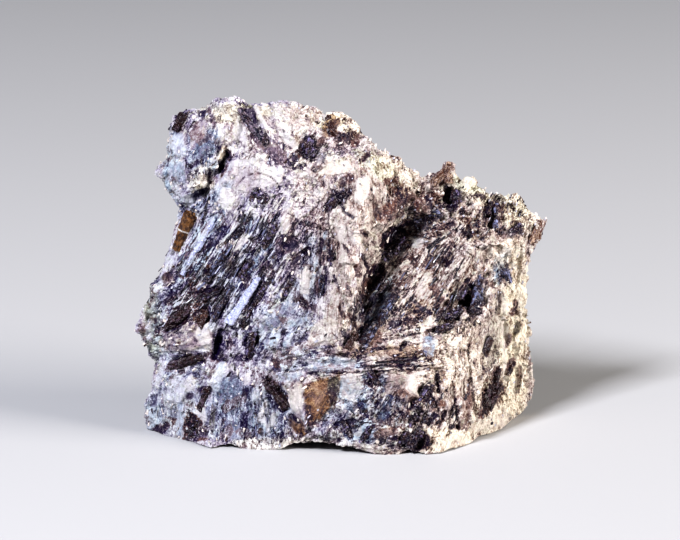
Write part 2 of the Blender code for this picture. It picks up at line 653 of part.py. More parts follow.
def prism_place(start, end, variety):
    """The matrix that lays a prism from start to end with an edge of it turned to the viewer."""
    axis = (end - start).normalized()
    toward = to_world(0.0, 0.0, -1.0).normalized()
    edge = (toward - axis * toward.dot(axis)).normalized()
    turn = Matrix((edge, axis.cross(edge), axis)).transposed()
    roll = Matrix.Rotation(ROLL * jitter(variety, 25), 3, "Z")
    return Matrix.Translation((start + end) * 0.5) @ (turn @ roll).to_4x4()


def seat_crystal(name, finish, prisms, place_on, outward, variety, sockets):
    """One crystal, or several grown together, and the sockets that they need in the stone."""
    color, roughness = FINISHES[finish]
    crystal = None
    for number, (width, foot, head) in enumerate(prisms):
        ends = []
        for first, second, sink in (foot, head):
            u, v, depth = place_on(first, second)
            ends.append(to_world(u, v, depth - outward * sink))
        length = (ends[1] - ends[0]).length / MM
        place = prism_place(ends[0], ends[1], variety + number)
        body = prism_mesh(width, length, variety + number)
        if crystal is None:
            crystal = link(name, body, color, roughness)
            crystal.matrix_world = place
        else:
            member = link(f"{name}_member_{number}", body, color, roughness)
            member.matrix_world = place
            join(crystal, member, "UNION")
        socket = link(f"{name}_socket_{number}",
                      prism_mesh(width, length, variety + number, SEAT_GAP), color, roughness)
        socket.matrix_world = place
        as_guide(socket)
        sockets.objects.link(socket)
        bpy.context.collection.objects.unlink(socket)
    return crystal


def as_guide(thing):
    """Keep an object out of the model: it only cuts, or is joined to another."""
    thing.hide_render = True
    thing.display_type = "WIRE"


def join(thing, other, operation):
    """Give an object an exact Boolean with another one."""
    as_guide(other)
    boolean = thing.modifiers.new(operation.lower(), "BOOLEAN")
    boolean.operation = operation
    boolean.solver = "EXACT"
    boolean.object = other


def cut_sockets(stone, sockets):
    """Cut every socket from the stone and merge the shortest edges that this leaves."""
    boolean = stone.modifiers.new("sockets", "BOOLEAN")
    boolean.operation = "DIFFERENCE"
    boolean.solver = "EXACT"
    boolean.operand_type = "COLLECTION"
    boolean.collection = sockets
    graph = bpy.context.evaluated_depsgraph_get()
    mesh = bmesh.new()
    mesh.from_object(stone, graph)
    stone.modifiers.clear()
    bmesh.ops.remove_doubles(mesh, verts=mesh.verts, dist=SLIVER * MM)
    bmesh.ops.triangulate(mesh, faces=mesh.faces)
    mesh.to_mesh(stone.data)
    mesh.free()


def link(name, mesh, color, roughness):
    """Put a bmesh into the scene as a named object with a material of its own."""
    data = bpy.data.meshes.new(name)
    mesh.to_mesh(data)
    mesh.free()
    material = bpy.data.materials.new(name)
    material.use_nodes = True
    shader = material.node_tree.nodes["Principled BSDF"]
    shader.inputs["Base Color"].default_value = (*color, 1.0)
    shader.inputs["Roughness"].default_value = roughness
    data.materials.append(material)
    thing = bpy.data.objects.new(name, data)
    bpy.context.collection.objects.link(thing)
    return thing


def main():
    for thing in list(bpy.data.objects):
        bpy.data.objects.remove(thing, do_unlink=True)
    rim = chip_outline()
    ground = face_ground(rim)
    stone = link("schist_matrix", stone_mesh(rim, ground), STONE_COLOR, STONE_ROUGHNESS)

    sockets = bpy.data.collections.new("sockets")
    bpy.context.scene.collection.children.link(sockets)
    things = [stone]
    for number, (name, (finish, prisms)) in enumerate(FACE_CRYSTALS.items()):
        things.append(seat_crystal(name, finish, prisms, partial(on_face, ground),
                                   -1.0, 10 * number, sockets))
    for number, (name, (finish, prisms)) in enumerate(BACK_CRYSTALS.items()):
        things.append(seat_crystal(name, finish, prisms, partial(on_back, rim),
                                   1.0, 1000 + 10 * number, sockets))
    cut_sockets(stone, sockets)
    stand_on_origin(things)


def stand_on_origin(things):
    """Hang every piece on one empty, placed so that the middle of the underside is the origin."""
    graph = bpy.context.evaluated_depsgraph_get()
    corners = []
    for thing in things:
        evaluated = thing.evaluated_get(graph)
        corners += [thing.matrix_world @ Vector(corner) for corner in evaluated.bound_box]
    low = [min(corner[axis] for corner in corners) for axis in range(3)]
    high = [max(corner[axis] for corner in corners) for axis in range(3)]
    specimen = bpy.data.objects.new("specimen", None)
    bpy.context.collection.objects.link(specimen)
    specimen.location = (-0.5 * (low[0] + high[0]), -0.5 * (low[1] + high[1]), 0.0)
    for thing in things:
        thing.parent = specimen
        for modifier in thing.modifiers:
            modifier.object.parent = specimen


main()
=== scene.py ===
"""A hand specimen of dravite in mica schist: the finish of the stone, its crystals and its grains."""
import math
from itertools import product

import bmesh
import bpy
import numpy as np
from bpy.props import FloatProperty, FloatVectorProperty, IntProperty, PointerProperty
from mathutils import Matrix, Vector
from mathutils.bvhtree import BVHTree


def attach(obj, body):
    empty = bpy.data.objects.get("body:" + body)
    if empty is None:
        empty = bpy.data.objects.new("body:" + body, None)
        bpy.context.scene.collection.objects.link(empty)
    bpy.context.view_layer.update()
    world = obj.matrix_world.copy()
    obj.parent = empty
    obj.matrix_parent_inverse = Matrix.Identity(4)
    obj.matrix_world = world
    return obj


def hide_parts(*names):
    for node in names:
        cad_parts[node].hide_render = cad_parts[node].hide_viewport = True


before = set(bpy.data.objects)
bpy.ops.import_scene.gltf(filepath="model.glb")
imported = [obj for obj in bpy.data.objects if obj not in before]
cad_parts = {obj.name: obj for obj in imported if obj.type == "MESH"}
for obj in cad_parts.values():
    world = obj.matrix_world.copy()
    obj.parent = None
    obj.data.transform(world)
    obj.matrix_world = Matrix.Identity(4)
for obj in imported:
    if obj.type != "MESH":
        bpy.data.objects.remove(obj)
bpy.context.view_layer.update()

bl_info = {
    "name": "Dravite in mica schist",
    "version": (1, 0, 0),
    "blender": (4, 5, 0),
    "location": "3D View > Sidebar > Dravite",
    "description": "Builds the schist, its dravite crystals, needles, mica flakes and grains",
    "category": "Add Mesh",
}

MM = 0.001
LEAN = math.radians(14.5)  # how far the crystal-rich face leans back
SIN_LEAN, COS_LEAN = math.sin(LEAN), math.cos(LEAN)
FACE_MIDDLE = (-0.734, -15.078)  # where the face's own U = V = W = 0 stands, in mm
STONE = "schist_matrix"
BODY = "root"

# The grain of the schist across the face: (U, V, degrees from level), in mm.
FOLIATION = (
    (-24, 48, 70), (-21, 42, 75), (-12, 50, 120), (-3, 47, 50), (-8, 40, 70), (-26, 37, 60),
    (-21, 32, 57), (-15, 28, 58), (-8, 30, 60), (-2, 27, 80), (-27, 23, 38), (-24, 20, 36), (-25, 16, 18),
    (-24, 14, 18), (-16, 16, 65), (2, 40, 85), (1, 30, 92), (0, 22, 88), (8, 41, 95), (6, 32, 60),
    (8, 22, 52), (13, 34, 30), (14, 28, 60), (17, 24, 62), (21, 30, 65), (27, 33, 75), (28, 20, 85),
    (28, 10, 80), (0, 13.2, 2), (8, 13.6, 1), (14, 13.5, 4), (10, 17, 20), (-6, 14, 30), (-24, 7, 80),
    (-18, 5, 85), (-10, 6, 100), (-13, 10, 75), (-2, 8, 40), (4, 8, 45), (10, 8, 65), (15, 8, 74),
    (19, 14, 76), (21, 8, 75), (17, 4, 60), (6, 3, 20),
)
# Where the schist is paler, darker or tinted: (U, V, half length, half width, degrees, strength).
PATCHES = {
    "pale": (
        (-24.5, 46, 6, 1.5, 88, 1), (-25.5, 40.5, 2.5, 1.5, 120, 0.9), (-14.5, 41.5, 4.5, 2.5, 5, 1),
        (-17, 38.5, 2, 2, 0, 1), (-7.5, 51, 5.5, 2, -5, 0.7), (-0.5, 43.5, 3, 1, 15, 1),
        (3.5, 40, 4.5, 2, 80, 0.9), (0.5, 29.5, 7, 2, 88, 0.95), (-0.3, 22, 4, 1.6, 88, 0.9),
        (5, 36, 2.5, 1.5, 80, 0.7), (8, 41.5, 3, 2, -40, 0.7), (-25, 9, 3, 2, 30, 1),
        (-29, 20, 3, 1.5, 95, 0.9), (-20.5, 10, 2.5, 2, 90, 0.5), (-28, 11.5, 2.5, 1, 60, 0.7),
        (-6.5, 7, 4, 1, 85, 1), (10.5, 10, 2.5, 1.5, 75, 1), (17.5, 12.5, 5, 3.5, 80, 0.6),
        # (27, 15.5) is partly painted light: it lightens the right flank where a warm light falls.
        (16, 2, 4.5, 1.5, -10, 0.8), (27, 15.5, 13, 2.5, 88, 1), (26, 30.5, 2.5, 2, 80, 1),
        (28, 35, 1.5, 1, 0, 0.6), (14, 25.5, 3.5, 2, 60, 0.5), (21, 16.5, 2, 2, 20, 0.8),
        (-12, 6, 3.5, 2, 80, 0.8), (1.5, 10.5, 2, 1.5, 0, 0.8), (-8.5, 15, 3.5, 1.5, 0, 0.5),
        (-17.5, 12, 2, 1.5, 0, 0.6), (19.5, 21.5, 1, 1, 0, 0.8), (18.5, 42, 1.5, 1, 0, 0.6),
        # (6.8, 28.5) is painted light: it lightens the shaded middle of the hollow to the right of the
        # ridge.
        (11, 42, 2, 1, -20, 0.6), (6.8, 28.5, 3, 1.5, 60, 0.4), (24.5, 20, 2, 4.5, 0, 0.7),
        (-29, 6, 3.5, 1.5, 70, 0.7), (-16.5, 50, 2, 3.5, 0, 0.4),
    ),
    "dark": (
        (-21.5, 44.5, 3.5, 2.5, 70, 0.4), (-20.5, 39.5, 1.5, 1, 0, 0.6), (-25, 26, 5, 3, 45, 0.4),
        (-15, 16.5, 5, 4, 30, 0.4), (-15, 5, 5, 4, 0, 0.4), (-5, 4, 5, 3, 0, 0.3),
        (16, 38.5, 6, 3.5, -25, 0.3), (8, 5, 5, 4, 0, 0.3), (-13, 49.5, 4, 1, -52, 1),
        (-4.5, 45.5, 2, 1.5, 20, 1), (-8.5, 45, 3.5, 1.5, -20, 0.7), (0, 39, 2.5, 1.5, 35, 0.9),
        (1, 47.5, 2, 1.5, 30, 0.8), (-13, 29, 9, 6.5, 45, 0.6), (-21, 29, 6.5, 2, 57, 0.5),
        (-5.5, 33, 5, 2, -10, 0.9), (-3, 26.5, 4.5, 1.5, 85, 0.6), (9, 33, 3.5, 2, 40, 0.75),
        # (4, 22.5) is partly painted shadow: it darkens the floor of the hollow to the right of the
        # ridge.
        (4, 22.5, 4.5, 2, 65, 0.65), (12.5, 36.5, 4, 2, 25, 0.9), (17, 38.5, 2, 1.5, 70, 1),
        # (19, 23) is partly painted shade: it darkens the deep pit there along with its dark crystals.
        (22.5, 36, 3.5, 2, 60, 0.9), (15.5, 34, 5.5, 1.5, -5, 0.8), (19, 23, 3.5, 2.5, 60, 1),
        (14.5, 20.5, 6, 1.5, -5, 0.8), (9.5, 20, 4, 2.5, 30, 0.7), (15.5, 30, 3, 2, 40, 0.7),
        (6.5, 7.5, 4.5, 3, 0, 0.7), (13.5, 7.5, 4, 2, 75, 0.8), (1.5, 5, 3, 2, 20, 0.7),
        (-9.5, 9, 3, 1.5, -50, 0.8), (-22, 4, 2.5, 2, 30, 1), (10.5, 2, 3.5, 1.5, 0, 1),
        (-14, 16, 2.5, 1, 80, 0.8), (-7.5, 18, 2, 1.5, 70, 0.6), (23.5, 9, 4, 1.5, 65, 0.9),
        (24.5, 35, 2.5, 1, 80, 0.9), (27, 33.5, 1.5, 1, 20, 0.8), (25, 27.5, 2, 1, 70, 0.8),
        (-23.5, 14, 3.5, 1, 15, 0.8), (-24.5, 27, 3, 1, 60, 0.6), (-25, 20.5, 3, 1, 38, 0.7),
        (-20.5, 21.5, 2.5, 1.5, 40, 0.8), (-17, 43.5, 2, 1, 60, 0.8), (-24.5, 50.5, 2.5, 2, 0, 0.9),
        (5.5, 11.5, 2, 1.5, 0, 0.8), (20.5, 33, 2, 1.5, 0, 0.7), (9, 38.5, 2.5, 1.5, -70, 0.5),
        (-19, 25.5, 4, 1, 57, 0.6), (3, 17, 4, 2.5, 20, 0.5), (10, 14, 4, 1.2, 0, 0.6),
        (26.5, 36.5, 3.5, 2.5, -30, 0.55),
    ),
    "cool": (
        # The bluish patches along the left side are partly painted light: they stand in part for a cool
        # light from the left.
        (-26.5, 20, 8, 3.5, 95, 0.5), (-24, 8, 6, 6, 0, 0.5), (-14, 6, 8, 5, 0, 0.7),
        (4, 5, 8, 4, 0, 0.5), (-8, 16, 8, 4, 0, 0.25), (-17, 26, 9, 5, 45, 0.4),
        (-25.5, 42.5, 6.5, 1.5, 88, 0.9), (-20.5, 45.5, 4, 3, 70, 0.8), (-19.5, 38.5, 3.5, 1, 38, 0.8),
        (-21, 31.5, 7, 2, 57, 1), (-16, 31, 6.5, 1.5, 57, 0.9), (-10, 19, 6, 3.5, 10, 0.5),
        (-26, 38, 4, 3, 0, 0.5), (-1.5, 13.5, 4.5, 1.5, 0, 0.7), (2, 9.5, 3, 2.5, 0, 1),
        (-17, 8, 4, 3.5, 60, 0.8), (-12, 6, 3.5, 2.5, 80, 0.8), (3.5, 3.5, 3, 2, 10, 0.9),
        (-29, 5.5, 3.5, 2, 70, 0.8), (13.5, 16.5, 1.5, 1, 80, 1), (5.5, 22.5, 5, 2, 55, 0.9),
        (-4.5, 28, 4, 1.5, 85, 0.6), (-26.5, 23, 4, 1.5, 60, 0.5), (-6.5, 23, 4, 3, 60, 0.5),
        # (24.5, 28) is a painted sheen: bluish reflected light on the stone around the crystal there.
        (24.5, 28, 2.5, 1.2, 70, 1), (7, 10.5, 2, 1.5, 0, 0.8),
    ),
    "warm": (
        # (27, 15.5) is partly painted light: it warms and lightens the right flank where a warm light
        # falls.
        (27, 15.5, 15, 2.5, 88, 1), (16, 2, 6.5, 2, -5, 0.9), (22, 5.5, 5, 4, 60, 0.7),
        (8.5, 42.5, 4.5, 2.5, -35, 0.6), (20, 40, 4, 2, -30, 0.6), (27.5, 36.5, 3.5, 2.5, -30, 0.7),
        (1, 50, 3.5, 2, -20, 0.7), (17.5, 14, 6, 4.5, 60, 0.4), (26, 30.5, 3, 2.5, 80, 0.6),
        (-21, 41.5, 2, 2, 0, 0.5), (-10, 1.5, 9, 1, 0, 0.6), (-7.5, 50.5, 6, 2, 0, 0.3),
        (-11, 47, 7, 4, 0, 0.4), (-16, 51, 6, 2, 0, 0.5),
    ),
    "ochre": (
        (-18, 45.5, 2, 1, 75, 0.3), (-1.5, 49.5, 2, 1, 70, 0.8), (-6.5, 4.5, 1.5, 1, -45, 0.9),
        (1, 15.5, 4, 1, 0, 0.4), (8.5, 15.5, 5, 1, 2, 0.5), (-24, 17, 3, 2, 15, 0.4),
        (-16, 30, 2.5, 1, 60, 0.5), (-19.5, 27, 2.5, 1, 57, 0.4), (27, 18.5, 1.5, 0.5, 70, 0.5),
        (12, 22, 2, 1, 20, 0.4),
    ),
    "rust": (
        (15, 29, 8, 6, 30, 0.6), (15, 23, 4, 2, 0, 0.9), (11, 39.5, 5, 2, -20, 0.7),
        (21.5, 34.5, 6.5, 2.5, 10, 0.7), (23.5, 9, 5, 2, 65, 1), (-22.5, 23, 4, 2.5, 40, 0.8),
        (-4.5, 22.5, 2.5, 1, -20, 0.6), (-14, 13.5, 2.5, 1, 80, 0.8), (-22.5, 4, 3.5, 2, 0, 0.7),
        (12, 2.5, 6, 1.5, 0, 0.6), (-22.5, 30, 3.5, 1.5, 57, 0.7), (1, 47.5, 2.5, 2, 30, 0.5),
        (16, 42.5, 2, 1.5, 60, 1), (30, 33.5, 2.5, 1.5, 65, 1), (27, 38.5, 1.5, 1, 0, 0.8),
        (-2.5, 48, 2, 1.5, 0, 0.5), (-13, 48, 4, 1.5, -52, 0.5),
    ),
    "moss": (
        (-28.5, 20, 7, 1.5, 95, 0.8), (-26, 42.5, 6, 1, 88, 0.5), (-21, 40.5, 2, 1.5, 0, 0.6),
        (6, 43, 5, 1.5, -40, 0.7), (-1.5, 50, 2, 1.5, 0, 0.6), (-16, 51.5, 6, 1.5, 0, 0.6),
        (20, 40.5, 3, 1.5, -30, 0.9), (26, 37, 4, 2.5, -30, 0.6), (-9.5, 21, 4, 1.5, 50, 0.5),
        (11.5, 34.5, 2, 1, 0, 0.5), (-24, 5, 5, 4, 0, 0.3), (-0.5, 10, 2.5, 0.5, 85, 0.6),
        (25, 15, 8, 3, 85, 0.3),
    ),
    "calm": (
        (-17, 7, 5.5, 4, 0, 0.35), (-25, 7, 3, 4, 0, 0.2), (-3, 8, 3.5, 2, 60, 0.8),
        (-11, 48.5, 7, 3.5, 0, 0.35), (-6.5, 7, 3.5, 1, 85, 0.8), (-14.5, 41.5, 4, 2, 5, 0.6),
        (27, 15.5, 13.5, 2, 88, 0.2), (1.5, 10.5, 2, 1.5, 0, 0.6), (10.5, 10, 2, 1, 75, 0.7),
        (-24, 17, 3, 2, 15, 0.5),
    ),
}
# Where the grain is drawn out into needles, as in PATCHES.
STREAKY = (
    (-16.5, 29.5, 11.5, 7.5, 50, 1), (-23.5, 22.5, 6, 3, 40, 0.8), (14.5, 26, 7, 4.5, 60, 0.8),
    (5.5, 26, 6.5, 2.5, 62, 0.7), (-12, 6.5, 3, 3, 90, 0.35), (18, 9, 6, 3, 75, 0.6),
    (1, 27, 7, 2, 90, 0.4), (7, 13.7, 6, 1, 2, 0.9),
)
# Where the face is knobbly and full of hollows, as in PATCHES.
RUGGED = (
    (13, 38, 7, 3.5, -25, 1.7), (22, 34, 7, 4.5, -40, 1.6), (18.5, 22.5, 5, 3.5, 40, 1),
    (26.5, 25, 5, 2, 85, 0.6), (9.5, 5, 5, 3.5, 30, 1), (-9.5, 45.5, 6, 2.5, 0, 0.4),
    (2, 28, 8, 2.5, 88, 1), (-22, 43, 5, 3.5, 80, 0.35), (-22, 8, 6, 5, 0, 0.8),
    (20, 9, 6, 4.5, 75, 0.45), (-2, 6, 6, 4, 0, 0.7), (-12, 6, 5, 4, 0, 0.6), (-8, 18, 7, 4, 0, 0.3),
    (27, 17, 14, 3, 88, 1.3), (27, 36, 3.5, 2.5, -30, 1.2), (-28.5, 20, 4.5, 1.8, 95, 0.8),
    (6, 33, 4, 2.5, 50, 0.6),
)
# Thin cracks and raised laths: (U, V, U, V, width, height), in mm.
LINES = (
    (-5, 12.2, 0, 12.4, 0.14, -0.7), (0, 12.4, 6, 12.6, 0.12, -0.5), (6, 12.6, 15.5, 13, 0.14, -0.6),
    (3.5, 13.3, 14, 13.4, 0.1, -0.3), (5.5, 14, 12, 14.1, 0.1, -0.4), (8, 14.5, 11.5, 14.7, 0.1, -0.3),
    (-15.4, 40.6, -14.6, 41.6, 0.08, -0.2), (-14.6, 41.6, -13.3, 42.2, 0.08, -0.2),
    (-13.3, 42.2, -11.9, 42.3, 0.08, -0.2), (-11.9, 42.3, -10.4, 41.7, 0.08, -0.2),
    (-10.4, 41.7, -9.4, 40.7, 0.08, -0.2), (-9.4, 40.7, -8.8, 39.5, 0.08, -0.2),
    (-13, 10, -12, 6.5, 0.14, 0.3), (-12, 9.5, -11, 6.5, 0.12, -0.3), (-13, 6.5, -12, 3.5, 0.16, 0.4),
    (-11, 7.5, -10.5, 3.5, 0.14, 0.3), (-10, 7, -9.5, 3.5, 0.12, 0.3), (-14, 9, -13.5, 6.5, 0.14, 0.3),
    (-19, 14.5, -18, 18.5, 0.35, -0.6), (-14, 14.5, -13.5, 16.5, 0.3, -0.5),
    (-18, 43, -17, 45, 0.3, -0.6), (13.5, 9.5, 16, 4.5, 0.12, -0.3), (17, 11, 18, 3.5, 0.14, -0.3),
    (18.5, 15.5, 19.5, 5, 0.14, 0.3), (19.5, 15.5, 20.5, 6, 0.14, -0.3), (16, 8, 16.5, 3.5, 0.12, 0.3),
    (14.5, 12.5, 15, 9.5, 0.25, -0.5), (-6, 10.5, -5, 3.5, 0.18, 0.5), (3.4, 19.5, 5, 24, 0.7, 0.7),
    (-16.4, 42.6, -16, 45.8, 0.8, 0.7), (-19, 40.6, -17.4, 41.6, 0.8, 0.5),
)
# Round hollows and knobs: (U, V, radius, height), in mm.
PITS = (
    (-29.5, 21.5, 1, 0.7), (-30, 19, 1.2, 0.8), (-29, 17, 1, 0.6), (-28.5, 15, 1, 0.5), (-28, 25, 1, 0.5),
    (-29.5, 7.5, 1, 0.4), (20, 41, 1, 0.6), (21, 39, 1, 0.4), (-27, 43, 1.2, 0.4), (17, 39, 1.4, -1.2),
    (16.5, 37, 1, -0.8), (23.5, 36.5, 1, -1.2), (23.5, 35, 1, -0.7), (19, 23.5, 1.6, -1.3),
    (17.5, 23, 1.2, -0.8), (17, 20.5, 1.2, -0.8), (14, 18.5, 1, -0.5), (21.5, 33, 1, -0.6),
    (9, 33, 1.5, -0.8), (7, 31, 1.2, -0.6), (5, 26, 1.2, -0.6), (4, 22.5, 1, -0.5), (1.5, 17, 1, -0.8),
    (-4, 46, 1.2, -0.5), (-0.5, 38.5, 1.2, -0.4), (9.5, 16.5, 0.6, -0.5), (5, 11.5, 0.8, -0.5),
    (11, 8, 0.8, -0.5), (11, 5, 1, -0.4), (-14, 29, 0.8, -0.5), (-15, 28, 0.6, -0.4),
    (-20.5, 20.5, 1, -0.4), (-13.5, 17, 1, -0.5), (-10.5, 10.5, 1, -0.4), (-22.5, 3.5, 1.2, -0.5),
    (9.5, 2, 1, -0.7), (12, 1.5, 1, -0.6), (12.5, 9.5, 1, -0.6), (23, 16, 1, -0.5), (13.5, 35.5, 1, -0.5),
    (11.5, 33.5, 1.2, -0.6), (15, 33, 0.8, -0.4), (20, 34.5, 0.8, -0.4), (5.5, 33.5, 1, -0.6),
    (-18, 17, 0.8, -0.6), (-1, 29.5, 0.6, -0.5), (15.5, 29, 0.8, -0.4),
)
# Flat cleaved plates with sharp edges: the height in mm, the patch they belong to and how
# strongly, and the corners (U, V) in mm.
PLATES = (
    (0.45, "ochre", 0.4, ((-27, 18), (-25, 19), (-22.5, 20), (-20.5, 19.5), (-19, 18), (-19.5, 15.5),
     (-22.5, 15.5), (-26.5, 14))),
    (0.3, "ochre", 1.0, ((-5.5, 10.5), (-2.5, 11.5), (0, 12.2), (0, 9.5), (-1.5, 7), (-4, 4), (-5, 4.5))),
    (0.35, "pale", 0.8, ((9.5, 11.5), (11, 11.5), (12, 10), (12, 8.5), (11, 8.5), (9.5, 9.5))),
    (0.2, "warm", 0.9, ((-18.5, 44.5), (-18, 46.5), (-17, 46.5), (-16.5, 45), (-17.5, 44))),
    (0.3, "warm", 0.7, ((-21.9, 40), (-21.5, 42.6), (-20.3, 42.4), (-20.2, 40.1))),
    (0.25, "cool", 1, ((12, 15), (12.5, 17.5), (13.5, 18), (14.5, 16.5), (14, 14.5))),
    (0.3, "pale", 1, ((24.2, 28.5), (24.6, 33.2), (26.3, 34.3), (28, 33), (27.8, 29), (26, 27.6))),
    (0.35, "pale", 0.8, ((3.6, 38.6), (4.4, 43.8), (6.2, 45.2), (8.2, 42.8), (6.9, 39.2), (5.4, 37.6))),
    (0.25, "pale", 0.8, ((-26.4, 8), (-26, 11.6), (-24.2, 12.3), (-23.1, 9.8), (-24, 7.3))),
    (0.2, "cool", 0.6, ((-10.4, 12.4), (-9.6, 15.4), (-5.2, 16.1), (-1.6, 14.9), (-1.8, 12.7))),
    (0.2, "pale", 1, ((-8.6, 33), (-9.2, 36.4), (-7.2, 37.4), (-6.6, 34.2), (-7.4, 32.6))),
    (0.25, "pale", 0.7, ((-6, 25), (-5.4, 28.6), (-3, 28.9), (-2.4, 26), (-3.8, 24.4))),
    (0.3, "pale", 0.9, ((1.2, 33.6), (0.6, 37.4), (2.6, 41.6), (4.6, 38.9), (4.4, 34.8), (3, 32.6))),
)
